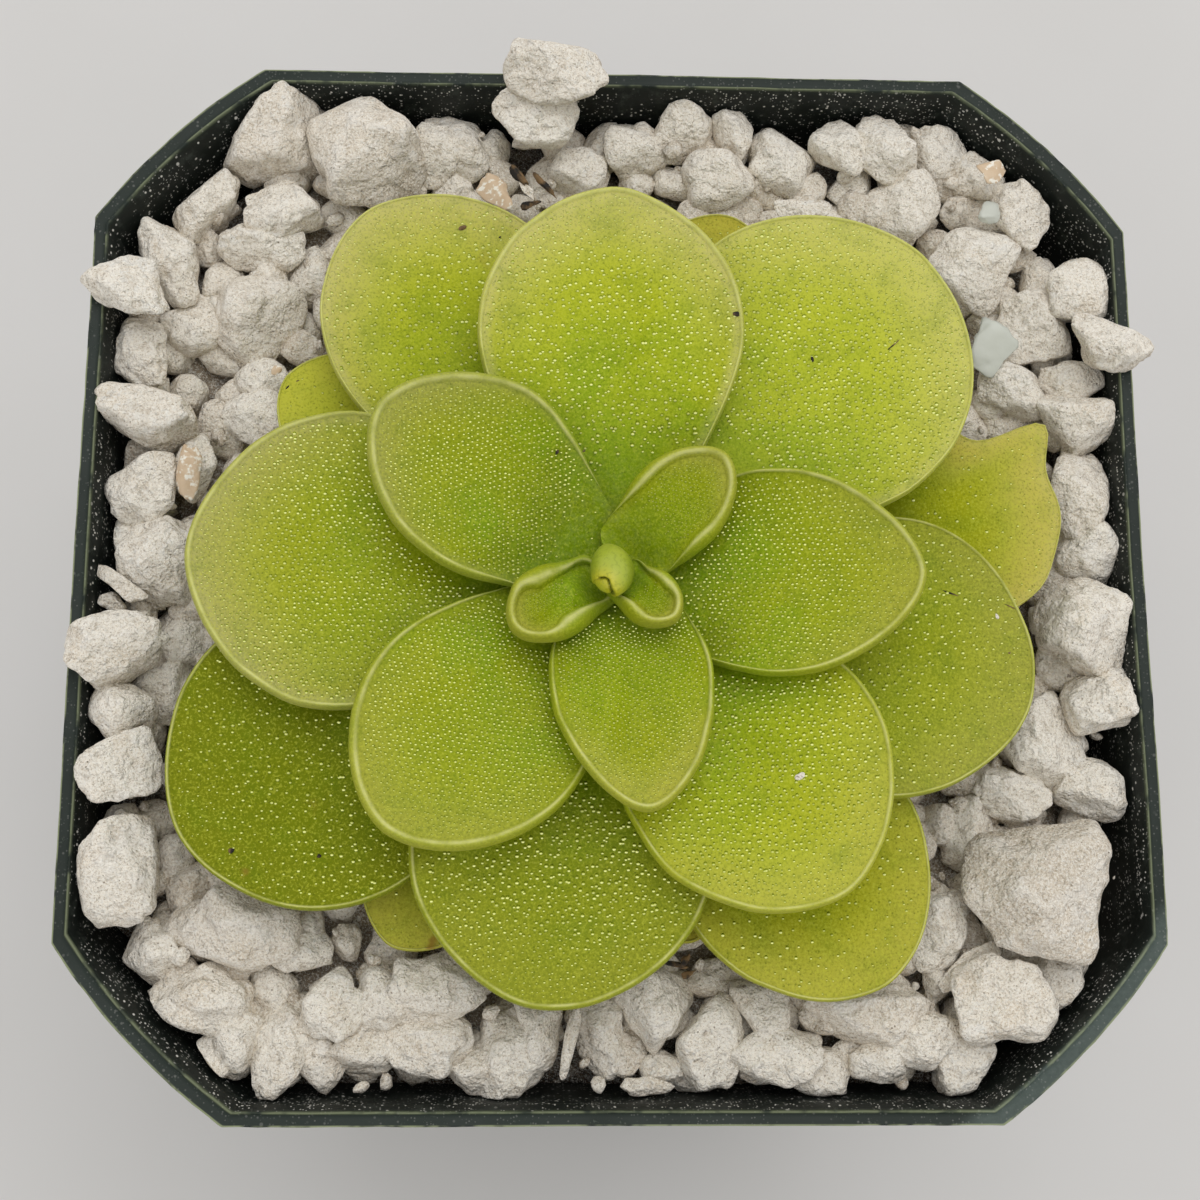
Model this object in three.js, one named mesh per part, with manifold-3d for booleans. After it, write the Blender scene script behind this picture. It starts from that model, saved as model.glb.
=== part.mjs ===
// A butterwort (Pinguicula): a flat rosette of fleshy leaves in a square nursery pot,
// top-dressed with pumice.
// Millimetres, +Z up. The origin is the middle of the pot's underside.
import * as THREE from "three";
import { mergeVertices } from "three/addons/utils/BufferGeometryUtils.js";
import Module from "manifold-3d";

const wasm = await Module();
wasm.setup();

// ---------------------------------------------------------------- driving dimensions
const RIM_WIDTH = 86; // across the flats of the rim's lip
const POT_HEIGHT = 86;
const CLEARANCE = 0.3; // between neighbouring pieces

// Pot: half widths across the flats at named heights.
const CHAMFER_SHARE = 0.313; // corner chamfer leg as a share of the half width
const CORNER_BULGE_SHARE = 0.024; // how far a chamfer's middle stands out
const WALL = 1;
const FLOOR = 1.4;
const FOOT_HALF = 30;
const FOOT_EDGE = 1;
const COLLAR_STEP = 1.4; // the collar below the rim stands out by this much
const COLLAR_LOW = 64;
const COLLAR_HIGH = 66.5;
const COLLAR_LOW_HALF = 38.6;
const LIP_DEPTH = 2;
const LIP_REACH = 0.4; // lip beyond the outside of the wall
const LIP_SLOPE = 0.4; // height over which the lip grows out of the wall
const DRAIN_RADIUS = 3;
const DRAIN_OFFSET = 17;

// Fillings of the pot.
const MIX_TOP = 72;
const BED_TOP = 80.2; // under the loose top stones
const SEAT_NEAR_WALL = 82.3; // height of a stone's middle
const SEAT_MIDDLE = 84;
const STONE_FLATNESS = 0.42; // half height over mean width
const STONE_SPAN = 2.1; // a stone's mean length over its unstretched radius
const STONE_STRETCH = { least: 0.98, spread: 0.26 }; // how far its corners lie from its middle, in radii
const STONE_ROOT = 0.4; // how far a stone reaches down into the bed
const RIM_STONE_LIFT = 5; // a stone lifted more than this lies on its neighbours, not in the bed
const MOUND = { foot: 30, shoulder: 15, top: 84 }; // the bed rises under the rosette: radii and height
const FILLER_FROM = 20; // mm from the crown: nearer in, leaves hide the bed
const FILLER_PITCH = 7.4;
const FILLER_RADIUS = 3.5;
const FILLER_SEAT = 80.6;
const FILLER_FROM_WALL = 2.4;
const FILLER_FROM_CORNER = 3;

// Rosette.
const CROWN = { x: -0.6, y: -1.8 };
const STEM = { foot: 62, thick: 3.4, thickTo: 88, tip: 1.3, top: 94.6 };
const STEM_ROOT = [[0, 0], [1.6, 0.6], [2.6, 4], [3.4, 14]]; // radius and height above the stem's foot
const STEM_SIDES = 16;
const STEM_HOLE_FOOT = 60;
const BUD = { foot: 94.9, length: 5.8, radius: 1.5, lean: 40, x: -0.45, y: 1.3, fullness: 0.62, taper: 1.35 };
const BASE_HEIGHT = 86; // underside of the outermost leaf at the stem
const BASE_STEP = 0.42; // each younger leaf starts this much higher
const BASE_HALF_WIDTH = 2.8; // of a large leaf where it leaves the stem
const LEAF_THIN = 0.7; // at the stem
const LEAF_THICK = 1.3; // in the middle of the blade
const LEAF_GAP = 0.42; // between leaves that lie on each other
const WIDEST = 0.58; // where a blade's rings close round its middle, as a share of its length
const DEEPEST_INSET = 0.65; // no margin takes up more than this share of the way to the middle
const DRAPE_SOFTNESS = 1; // rounding where a leaf comes to rest on a lower one
const DRAPE_FALL = 0.35; // how fast a lower leaf's support fades beyond its outline, per mm
const ROUNDNESS = 0.55; // exponent of the outline: 0.5 gives an elliptic tip

// Leaves from the youngest outwards: azimuth and slopes in degrees, sizes in millimetres.
// reach: tip to crown axis; full: where the widest place lies; rise: slope at stem and at tip;
// cup: lift of the margins; lip: height of the rolled margin; bend: sideways drift of the tip.
const LEAVES = [
  { azimuth: 314, reach: 6.6, width: 4.5, full: 1.2, rise: [30, 16], cup: 0.5, lip: 0.8 },
  { azimuth: 215, reach: 9.3, width: 6, full: 1.4, rise: [24, 8], cup: 0.5, lip: 0.8 },
  { azimuth: 42.5, reach: 11.5, width: 7.5, full: 1.2, rise: [28, 12], cup: 0.6, lip: 0.7 },
  { azimuth: 278, reach: 18.9, width: 12, full: 0.9, rise: [22, 6], cup: 1, lip: 0.5 },
  { azimuth: 147, reach: 21, width: 14.8, full: 1.1, rise: [20, 4], cup: 1.3, lip: 0.5 },
  { azimuth: 357, reach: 23.1, width: 15.8, full: 1, rise: [18, 2], cup: 1.3, lip: 0.45 },
  { azimuth: 230, reach: 26, width: 17.4, full: 1.3, rise: [17, 0], cup: 1.1, lip: 0.4 },
  { azimuth: 90.5, reach: 29.6, width: 20.4, full: 1.4, rise: [15, -1], cup: 1.1, lip: 0.35 },
  { azimuth: 305, reach: 29.8, width: 20.2, full: 1.3, rise: [14, -3], cup: 1, lip: 0.35 },
  { azimuth: 178.5, reach: 32.1, width: 23, full: 1.4, rise: [12, -4], cup: 1, lip: 0.3 },
  { azimuth: 46, reach: 35.4, width: 24.8, full: 1.5, rise: [11, -4], cup: 1, lip: 0.3 },
  { azimuth: 260, reach: 33, width: 22.6, full: 1.5, rise: [9, -7], cup: 0.8, lip: 0.25 },
  { azimuth: 122, reach: 35.4, width: 19.8, full: 1.6, rise: [9, -6], cup: 0.8, lip: 0.25 },
  { azimuth: 344, reach: 33.7, width: 22, full: 1.5, rise: [9, -7], cup: 0.8, lip: 0.25 },
  { azimuth: 212, reach: 38, width: 23.6, full: 1.6, rise: [9, -9], cup: 0.8, lip: 0.25 },
  { azimuth: 72, reach: 32, width: 15, full: 1.5, rise: [8, -8], cup: 0.4, lip: 0.2 },
  { azimuth: 304, reach: 37.3, width: 19.4, full: 1.7, rise: [8, -9], cup: 0.4, lip: 0.2 },
  { azimuth: 147, reach: 31, width: 13, full: 1.7, rise: [7, -9], cup: 0.3, lip: 0.2 },
  { azimuth: 9, reach: 37.8, width: 17.6, full: 1.9, rise: [8, -8], cup: -0.4, lip: 0.2, bend: 3 },
  { azimuth: 239, reach: 32.4, width: 13, full: 1.7, rise: [6, -8], cup: 0.3, lip: 0.2 },
  { azimuth: 283, reach: 28.4, width: 11, full: 1.6, rise: [6, -8], cup: 0.2, lip: 0.2 },
];

// Stones of the top dressing that lie in sight:
// x, y, length along X, length along Y, lift above the usual seat.
const STONES = [
  [-5, 41.2, 8.2, 5.4, 5.4],
  [-6.6, 38.2, 6.8, 5, 3.4],
  [-28, 38, 8.6, 9, 1],
  [-20.6, 35.6, 9.4, 8.8, 1.4],
  [-34.8, 31, 5, 6.6, 0],
  [-27.6, 30.8, 6, 5, 0],
  [-37, 26.4, 5, 7.4, 0],
  [-39.8, 22.8, 6.8, 4.8, 4.4],
  [-29.4, 28, 6.8, 4, 0],
  [-29.4, 22, 7.2, 7.8, 0],
  [-39.2, 18.6, 4.2, 6.2, 0.6],
  [-35, 20.6, 5.2, 4, 0],
  [-38.2, 12.6, 7.6, 4.6, 2],
  [-29.2, 16.4, 4.6, 4, 0],
  [-29, 12.6, 5.6, 5, 0],
  [-38.4, 6.4, 5.8, 5.4, 1],
  [-34.4, 8.6, 3.4, 5.4, 0],
  [-39, 2.6, 3, 4, 0],
  [-36.4, 0.8, 6.6, 7, 1],
  [-39.6, -6.6, 7, 5.8, 4.6],
  [-35, -5.2, 4.6, 5.6, 0],
  [-36.6, -9.8, 5, 5, 0],
  [-39, -12, 5.4, 5.4, 3.4],
  [-38.6, -16, 6, 5.2, 3.4],
  [-38.4, -24, 5.8, 7.8, 3],
  [-38.4, -20.4, 4, 3.4, 0],
  [-29.6, -28, 10.2, 7, 0.6],
  [-36, -30, 4.4, 5, 0],
  [-32, -33.4, 7.4, 5.2, 0.4],
  [-29.2, -37, 5, 5, 0],
  [-25.2, -37.6, 5, 7, 0],
  [-24.2, -29.8, 4.6, 3.6, 0],
  [-21.4, -34.2, 5, 4.8, 0.2],
  [-18, -33.6, 5.2, 5, 0.2],
  [-13.6, -33, 7, 5.6, 0.8],
  [-14.4, -37.2, 6.6, 4.6, 0],
  [-8, -38, 5.6, 6.2, 0],
  [-5.6, -36.4, 3.4, 5.2, 0.6],
  [-1.4, -36.4, 4.2, 6.4, 0],
  [3.2, -34.6, 6, 6, 0.8],
  [7.4, -37, 5, 7, 0.2],
  [11.2, -34.6, 4.4, 4.6, 0.2],
  [12.6, -38, 6.8, 4.6, 0],
  [19.8, -35.4, 9.6, 5.4, 0.2],
  [20.4, -38.4, 4.2, 3.4, 0],
  [24.6, -37, 6, 4.2, 0],
  [30, -33.8, 8, 6.6, 0.6],
  [35.2, -32, 4.6, 5.4, 0],
  [33.4, -25, 11.6, 11.4, 2.4],
  [25.6, -28.4, 5, 6, 0],
  [28.2, -20.6, 4, 5.4, 0],
  [31.8, -17.4, 6.2, 4.8, 0],
  [37.8, -17.2, 5.2, 4.8, 0.8],
  [34.8, -13, 6.8, 7.4, 0.6],
  [39.2, -10, 6, 5, 2.4],
  [38, -4.2, 7.4, 8, 2.6],
  [39, 2, 5.6, 5, 1.4],
  [38.2, 7.4, 4.8, 8, 1.2],
  [38.2, 13, 6.4, 5.2, 1.4],
  [33.2, 16, 5.4, 4.8, 0],
  [40.4, 18.8, 6.4, 4.8, 4.4],
  [38.2, 16.6, 5.4, 3.6, 0.6],
  [39, 24.4, 5.4, 5.4, 1.4],
  [30.2, 26.6, 7, 6.8, 0.2],
  [35.4, 21.4, 6, 6.6, 0.4],
  [34.6, 31, 5, 6, 0],
  [24.6, 31.6, 6, 6.2, 0.8],
  [23.2, 37, 4.6, 6.4, 1],
  [27.8, 37, 5, 4.6, 0],
  [31.4, 35, 4.4, 4.4, 0],
  [19.4, 37.4, 5, 5, 0],
  [14.6, 36.4, 5.6, 5.8, 0.2],
  [9, 34.4, 5.8, 5.8, 0.2],
  [6.2, 38.8, 5.4, 5.2, 0.4],
  [10.4, 38.8, 3.4, 5.2, 0.4],
  [2.2, 37.2, 5.6, 5.4, 0],
  [-3, 34.6, 4.6, 4.4, 0],
  [-12.6, 37.2, 5.8, 6, 0],
  [-15.4, 36.2, 5, 5, 0],
];

// ---------------------------------------------------------------- helpers
const radians = THREE.MathUtils.degToRad;
const mix = THREE.MathUtils.lerp;

// Repeatable pseudo-random numbers from 0 to 1.
function seededDraw(seed) {
  let state = seed;
  return () => {
    state = (state * 16807) % 2147483647;
    return state / 2147483647;
  };
}

// A closed body's vertices and triangles as a manifold-3d solid, and back.
function toSolid(geometry) {
  const bare = geometry.clone();
  bare.deleteAttribute("normal");
  bare.deleteAttribute("uv");
  const merged = mergeVertices(bare, 1e-4);
  const vertProperties = merged.attributes.position.array;
  const triVerts = new Uint32Array(merged.index.array);
  return new wasm.Manifold(new wasm.Mesh({ numProp: 3, vertProperties, triVerts }));
}

function toGeometry(solid) {
  const mesh = solid.getMesh();
  const geometry = new THREE.BufferGeometry();
  geometry.setAttribute("position", new THREE.BufferAttribute(mesh.vertProperties, 3));
  geometry.setIndex(new THREE.BufferAttribute(mesh.triVerts, 1));
  return geometry;
}

// The largest of a solid's separate bodies: loose scraps of a cut are dropped.
function largestBody(solid) {
  const bodies = solid.decompose();
  bodies.sort((a, b) => b.volume() - a.volume());
  return bodies[0];
}

// A body from rings with equal numbers of points, counter-clockwise and lowest first, closed at both ends.
function ringBody(rings) {
  const count = rings[0].length;
  const position = rings.flat().flat();
  const index = [];
  for (let r = 0; r + 1 < rings.length; r++) {
    for (let i = 0; i < count; i++) {
      const a = r * count + i;
      const b = r * count + ((i + 1) % count);
      index.push(a, b, b + count, a, b + count, a + count);
    }
  }
  closeEnd(position, index, 0, count, true);
  closeEnd(position, index, (rings.length - 1) * count, count, false);
  const geometry = new THREE.BufferGeometry();
  geometry.setAttribute("position", new THREE.Float32BufferAttribute(position, 3));
  geometry.setIndex(index);
  return geometry;
}

// Closes a ring with a fan round its mean point.
function closeEnd(position, index, first, count, facesDown) {
  const middle = [0, 0, 0];
  for (let i = 0; i < count; i++) {
    for (let axis = 0; axis < 3; axis++) middle[axis] += position[3 * (first + i) + axis] / count;
  }
  const hub = position.length / 3;
  position.push(...middle);
  for (let i = 0; i < count; i++) {
    const a = first + i;
    const b = first + ((i + 1) % count);
    index.push(...(facesDown ? [b, a, hub] : [a, b, hub]));
  }
}

// ---------------------------------------------------------------- pot
// Cross-section: a square with chamfered corners whose chamfers bulge a little.
function potRing(half, z) {
  const leg = half * CHAMFER_SHARE;
  const bulge = half - leg / 2 + half * CORNER_BULGE_SHARE;
  const corner = [[half, half - leg], [bulge, bulge], [half - leg, half]];
  const ring = [];
  for (let quarter = 0; quarter < 4; quarter++) {
    const turn = (quarter * Math.PI) / 2;
    const [c, s] = [Math.cos(turn), Math.sin(turn)];
    for (const [x, y] of corner) ring.push([x * c - y * s, x * s + y * c, z]);
  }
  return ring;
}

const RIM_HALF = RIM_WIDTH / 2;

// Heights where the wall changes slope, each with its outer half width.
const WALL_STATIONS = [
  [FOOT_EDGE, FOOT_HALF + FOOT_EDGE],
  [COLLAR_LOW, COLLAR_LOW_HALF],
  [COLLAR_HIGH, COLLAR_LOW_HALF + COLLAR_STEP],
  [POT_HEIGHT, RIM_HALF - LIP_REACH],
];

// The wall's outer half width at a height.
function wallHalf(z) {
  const last = WALL_STATIONS.length - 1;
  const above = WALL_STATIONS.findIndex(([height], i) => i > 0 && (height > z || i === last));
  const [lowZ, lowHalf] = WALL_STATIONS[above - 1];
  const [highZ, highHalf] = WALL_STATIONS[above];
  return mix(lowHalf, highHalf, (z - lowZ) / (highZ - lowZ));
}

// The pot's outside, grown by a clearance.
function potOutside(grow) {
  const lipFoot = POT_HEIGHT - LIP_DEPTH;
  return ringBody([
    potRing(FOOT_HALF + grow, -grow),
    potRing(wallHalf(FOOT_EDGE) + grow, FOOT_EDGE - grow),
    potRing(wallHalf(COLLAR_LOW) + grow, COLLAR_LOW),
    potRing(wallHalf(COLLAR_HIGH) + grow, COLLAR_HIGH),
    potRing(wallHalf(lipFoot) + grow, lipFoot - grow),
    potRing(RIM_HALF + grow, lipFoot - grow + LIP_SLOPE),
    potRing(RIM_HALF + grow, POT_HEIGHT + grow),
  ]);
}

// What fills the pot between two heights, set back from the wall by a clearance.
function potInside(low, high, setBack) {
  const heights = [low, COLLAR_LOW, COLLAR_HIGH, high].filter((z) => z >= low && z <= high);
  return ringBody([...new Set(heights)].map((z) => potRing(wallHalf(z) - WALL - setBack, z)));
}

function makePot() {
  let pot = toSolid(potOutside(0)).subtract(toSolid(potInside(FLOOR, POT_HEIGHT + 1, 0)));
  for (const [x, y] of [[1, 1], [-1, 1], [-1, -1], [1, -1]]) {
    const drain = new THREE.CylinderGeometry(DRAIN_RADIUS, DRAIN_RADIUS, 4 * FLOOR, 12);
    drain.rotateX(Math.PI / 2).translate(x * DRAIN_OFFSET, y * DRAIN_OFFSET, 0);
    pot = pot.subtract(toSolid(drain));
  }
  return pot;
}

// ---------------------------------------------------------------- leaves
// Each blade's length, its start at the stem and its outline's constants, from the driving values.
const leaves = LEAVES.map((leaf, order) => {
  const base = BASE_HEIGHT + BASE_STEP * (LEAVES.length - 1 - order);
  const start = stemRadius(base) + CLEARANCE;
  const halfBase = Math.min(BASE_HALF_WIDTH, 0.3 * leaf.width + 0.4);
  const cut = Math.asin(((2 * halfBase) / leaf.width) ** (1 / ROUNDNESS)) / Math.PI;
  const [rise, fall] = leaf.rise.map((angle) => Math.tan(radians(angle)));
  return { bend: 0, ...leaf, order, base, start, cut, rise, fall, length: leaf.reach - start };
});

function stemRadius(z) {
  const t = THREE.MathUtils.clamp((z - STEM.thickTo) / (STEM.top - STEM.thickTo), 0, 1);
  return mix(STEM.thick, STEM.tip, t);
}

function halfWidth(leaf, s) {
  const inside = THREE.MathUtils.clamp(s, 0, 1);
  const along = leaf.cut + (1 - leaf.cut) * inside ** leaf.full;
  return (leaf.width / 2) * Math.sin(Math.PI * along) ** ROUNDNESS || 0;
}

// A plan point in a leaf's own terms: s along the blade from 0 to 1, v across it in millimetres.
function toLeaf(leaf, x, y) {
  const angle = radians(leaf.azimuth);
  const [dx, dy] = [x - CROWN.x, y - CROWN.y];
  const s = (dx * Math.cos(angle) + dy * Math.sin(angle) - leaf.start) / leaf.length;
  return [s, dy * Math.cos(angle) - dx * Math.sin(angle) - drift(leaf, s)];
}

function fromLeaf(leaf, s, v) {
  const angle = radians(leaf.azimuth);
  const along = leaf.start + s * leaf.length;
  const across = v + drift(leaf, s);
  return [
    CROWN.x + along * Math.cos(angle) - across * Math.sin(angle),
    CROWN.y + along * Math.sin(angle) + across * Math.cos(angle),
  ];
}

// A bent blade's midrib leaves the straight line towards its tip.
function drift(leaf, s) {
  return leaf.bend * THREE.MathUtils.clamp(s, 0, 1) ** 4;
}

// Underside of a leaf that nothing carries: it leaves the stem at one slope and ends at another,
// and its margins are raised.
function freeUnderside(leaf, s, v) {
  const t = THREE.MathUtils.clamp(s, 0, 1.1);
  const arch = leaf.length * (leaf.rise * t + ((leaf.fall - leaf.rise) * t * t) / 2);
  const beyond = Math.max(0, t - WIDEST) / (1 - WIDEST);
  const across = v / (leaf.width / 2);
  return leaf.base + arch + leaf.cup * (beyond * beyond + across * across);
}

// Upright thickness of the blade, which is more where it slopes.
function thickness(leaf, s) {
  const t = THREE.MathUtils.clamp(s, 0, 1);
  const slope = mix(leaf.rise, leaf.fall, t);
  const flesh = mix(LEAF_THIN, LEAF_THICK, Math.sin(Math.PI * Math.min(t, 0.5)));
  return flesh * Math.hypot(1, slope);
}

// The rolled margin grows out of a flat one near the stem.
function lipHeight(leaf, s) {
  return leaf.lip * THREE.MathUtils.smoothstep(s, 0, 0.35);
}

function distanceOutside(leaf, s, v) {
  const sideways = Math.max(0, Math.abs(v) - halfWidth(leaf, s));
  const endways = Math.max(0, s - 1, -s) * leaf.length;
  return Math.hypot(sideways, endways);
}

// The larger of two heights, with a rounded turn from one to the other.
function restOn(own, support) {
  const near = Math.max(0, DRAPE_SOFTNESS - Math.abs(own - support)) / DRAPE_SOFTNESS;
  return Math.max(own, support) + (near * near * DRAPE_SOFTNESS) / 4;
}

// Underside of a leaf where it lies: it rests on the pile of older leaves below it.
function underside(leaf, x, y) {
  let pile = 0;
  for (let order = leaves.length - 1; order > leaf.order; order--) {
    const lower = leaves[order];
    const [s, v] = toLeaf(lower, x, y);
    const foot = restOn(freeUnderside(lower, s, v), pile + LEAF_GAP);
    const top = foot + thickness(lower, s) + lipHeight(lower, s);
    pile = restOn(pile, top - DRAPE_FALL * distanceOutside(lower, s, v) ** 2);
  }
  const [s, v] = toLeaf(leaf, x, y);
  return restOn(freeUnderside(leaf, s, v), pile + LEAF_GAP);
}

// The rings of a blade, from the middle of its underside round the margin to the middle of its top.
// inset is how far a margin lies in from the outline, and share how far out a ring lies within it.
// body and roll give its height above the underside, in thicknesses and in heights of the rolled lip.
function bladeRings(leaf) {
  const hem = 0.7;
  const crest = 0.25 + 0.5 * leaf.lip;
  const innerEdge = 0.6 + 1.3 * leaf.lip;
  return [
    { share: 0.4, inset: hem, body: 0, roll: 0 },
    { share: 0.75, inset: hem, body: 0, roll: 0 },
    { share: 1, inset: hem, body: 0.06, roll: 0 },
    { share: 1, inset: 0, body: 0.6, roll: 0.4 },
    { share: 1, inset: crest, body: 1, roll: 1 },
    { share: 1, inset: innerEdge, body: 1, roll: 0 },
    { share: 0.75, inset: innerEdge, body: 1, roll: 0 },
    { share: 0.4, inset: innerEdge, body: 1, roll: 0 },
  ];
}

function makeLeaf(leaf) {
  const steps = leaf.length > 12 ? 10 : 8;
  const outline = [];
  for (let k = -steps; k <= steps; k++) {
    const a = (k * Math.PI) / steps;
    const s = (1 + Math.cos(a)) / 2;
    outline.push([s, Math.sign(k) * halfWidth(leaf, s)]);
  }
  const rings = bladeRings(leaf).map(({ share, inset, body, roll }) =>
    outline.map(([s, v]) => {
      const [fromMiddle, across] = [(s - WIDEST) * leaf.length, v];
      const radius = Math.hypot(fromMiddle, across);
      const scale = share * (1 - Math.min(inset / radius, DEEPEST_INSET));
      const ringS = WIDEST + (fromMiddle * scale) / leaf.length;
      const ringV = across * scale;
      const [x, y] = fromLeaf(leaf, ringS, ringV);
      const lift = body * thickness(leaf, ringS) + roll * lipHeight(leaf, ringS);
      return [x, y, underside(leaf, x, y) + lift];
    }),
  );
  return ringBody(rings);
}

// ---------------------------------------------------------------- bud and stem
function makeBud() {
  const profile = [];
  const steps = 8;
  for (let k = 0; k <= steps; k++) {
    const t = k / steps;
    const fatness = Math.sin(Math.PI * t ** BUD.taper) ** BUD.fullness;
    profile.push(new THREE.Vector2(BUD.radius * fatness, BUD.length * t));
  }
  profile[0].x = 0;
  profile[steps].x = 0;
  const bud = new THREE.LatheGeometry(profile, 12);
  bud.rotateX(Math.PI / 2).rotateX(radians(BUD.lean));
  bud.translate(CROWN.x + BUD.x, CROWN.y + BUD.y, BUD.foot);
  return bud;
}

function makeStem() {
  const root = STEM_ROOT.map(([radius, rise]) => [radius, STEM.foot + rise]);
  const shoot = [[STEM.thick, STEM.thickTo], [STEM.tip, STEM.top], [0, STEM.top]];
  const profile = [...root, ...shoot].map(([radius, z]) => new THREE.Vector2(radius, z));
  const stem = new THREE.LatheGeometry(profile, STEM_SIDES);
  return stem.rotateX(Math.PI / 2).translate(CROWN.x, CROWN.y, 0);
}

// A plain upright hole for the stem between two heights.
function stemHole(low, high) {
  const radius = (STEM.thick + CLEARANCE) / Math.cos(Math.PI / STEM_SIDES);
  const hole = new THREE.CylinderGeometry(radius, radius, high - low, STEM_SIDES);
  return toSolid(hole.rotateX(Math.PI / 2).translate(CROWN.x, CROWN.y, (low + high) / 2));
}

// ---------------------------------------------------------------- growing mix and pumice
function makeMix() {
  const fill = toSolid(potInside(FLOOR + CLEARANCE, MIX_TOP, CLEARANCE));
  return fill.subtract(stemHole(STEM_HOLE_FOOT, MIX_TOP + 1));
}

const chips = seededDraw(4711);

// One stone: a faceted ball with shifted corners.
function makeStone(stone, x, y, z, halfX, halfY, halfZ) {
  stone.deleteAttribute("normal");
  stone.deleteAttribute("uv");
  const merged = mergeVertices(stone, 1e-3);
  const corner = merged.attributes.position;
  for (let i = 0; i < corner.count; i++) {
    const stretch = STONE_STRETCH.least + STONE_STRETCH.spread * chips();
    corner.setXYZ(i, corner.getX(i) * stretch, corner.getY(i) * stretch, corner.getZ(i) * stretch);
  }
  merged.rotateZ(chips() * Math.PI).scale(halfX, halfY, halfZ).translate(x, y, z);
  return toSolid(merged);
}

// The lowest leaf underside over a stone's plan, so that the stone stays below the leaves that cover it.
function roofOver(x, y, reach) {
  let roof = Infinity;
  for (let k = 0; k < 9; k++) {
    const angle = (k * Math.PI) / 4;
    const out = k === 8 ? 0 : reach;
    const [px, py] = [x + out * Math.cos(angle), y + out * Math.sin(angle)];
    for (const leaf of leaves) {
      const [s, v] = toLeaf(leaf, px, py);
      if (distanceOutside(leaf, s, v) < 1) roof = Math.min(roof, underside(leaf, px, py));
    }
  }
  return roof;
}

// The stones in sight, each at its own place.
function topStones(half) {
  return STONES.map(([x, y, lengthX, lengthY, lift]) => {
    const nearWall = Math.max(Math.abs(x), Math.abs(y)) / half;
    const seat = mix(SEAT_MIDDLE, SEAT_NEAR_WALL, Math.min(1, nearWall)) + lift;
    const roof = roofOver(x, y, 0.45 * Math.min(lengthX, lengthY)) - 2 * CLEARANCE;
    const wanted = (STONE_FLATNESS * (lengthX + lengthY)) / 2;
    const top = Math.min(seat + wanted, roof);
    const rooted = Math.max(wanted, (top - BED_TOP) / 2 + STONE_ROOT);
    const halfZ = lift > RIM_STONE_LIFT ? wanted : rooted;
    const ball = new THREE.IcosahedronGeometry(1, 0);
    return makeStone(ball, x, y, top - halfZ, lengthX / STONE_SPAN, lengthY / STONE_SPAN, halfZ);
  });
}

// Smaller stones between and below those, in a jittered hexagonal layout.
function fillerStones(half) {
  const stones = [];
  const rowPitch = FILLER_PITCH * Math.cos(Math.PI / 6);
  const count = Math.ceil(half / rowPitch);
  for (let row = -count; row <= count; row++) {
    for (let column = -count; column <= count; column++) {
      const x = (column + (row % 2) / 2) * FILLER_PITCH + chips() - 0.5;
      const y = row * rowPitch + chips() - 0.5;
      const outside = Math.max(Math.abs(x), Math.abs(y)) > half - FILLER_FROM_WALL;
      const inCorner = Math.abs(x) + Math.abs(y) > (2 - CHAMFER_SHARE) * half - FILLER_FROM_CORNER;
      const fromCrown = Math.hypot(x - CROWN.x, y - CROWN.y);
      if (outside || inCorner || fromCrown < FILLER_FROM) continue;
      const ball = new THREE.OctahedronGeometry(1, 0);
      const roof = roofOver(x, y, FILLER_RADIUS) - 2 * CLEARANCE;
      const highest = roof - FILLER_RADIUS * (STONE_STRETCH.least + STONE_STRETCH.spread);
      const seat = Math.min(FILLER_SEAT + moundRise(fromCrown), highest);
      stones.push(makeStone(ball, x, y, seat, FILLER_RADIUS, FILLER_RADIUS, FILLER_RADIUS));
    }
  }
  return stones;
}

// Height of the bed's mound above the bed at a distance from the crown.
function moundRise(fromCrown) {
  const t = (MOUND.foot - fromCrown) / (MOUND.foot - MOUND.shoulder);
  return (MOUND.top - BED_TOP) * THREE.MathUtils.clamp(t, 0, 1);
}

function makeMound() {
  const height = MOUND.top - BED_TOP;
  const mound = new THREE.CylinderGeometry(MOUND.shoulder, MOUND.foot, height, 12);
  mound.rotateX(Math.PI / 2).translate(CROWN.x, CROWN.y, BED_TOP + height / 2);
  return toSolid(mound);
}

function makePumice() {
  const half = wallHalf(BED_TOP) - WALL;
  const bed = toSolid(potInside(MIX_TOP + CLEARANCE, BED_TOP, CLEARANCE));
  const stones = [...topStones(half), ...fillerStones(half)];
  const heap = stones.reduce((sum, stone) => sum.add(stone), bed.add(makeMound()));
  const room = toSolid(potInside(MIX_TOP, POT_HEIGHT + 2, CLEARANCE));
  const wall = toSolid(potOutside(CLEARANCE)).subtract(room);
  return largestBody(heap.subtract(wall).subtract(stemHole(MIX_TOP, POT_HEIGHT)));
}

// ---------------------------------------------------------------- scene graph
const finish = {
  pot: { color: 0x16261f, roughness: 0.5 },
  mix: { color: 0x5a4a3a, roughness: 1 },
  pumice: { color: 0xd9d3c8, roughness: 0.95 },
  stem: { color: 0xc9d08a, roughness: 0.6 },
  bud: { color: 0x86a528, roughness: 0.4 },
  youngLeaf: { color: 0x8fae2c, roughness: 0.35 },
  leaf: { color: 0xa2b931, roughness: 0.35 },
  oldLeaf: { color: 0x9aa528, roughness: 0.4 },
};

function piece(name, geometry, look) {
  const material = new THREE.MeshStandardMaterial({ ...look, metalness: 0 });
  const mesh = new THREE.Mesh(geometry, material);
  mesh.name = name;
  return mesh;
}

function leafLook(order) {
  if (order < 4) return finish.youngLeaf;
  return order < 14 ? finish.leaf : finish.oldLeaf;
}

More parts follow.
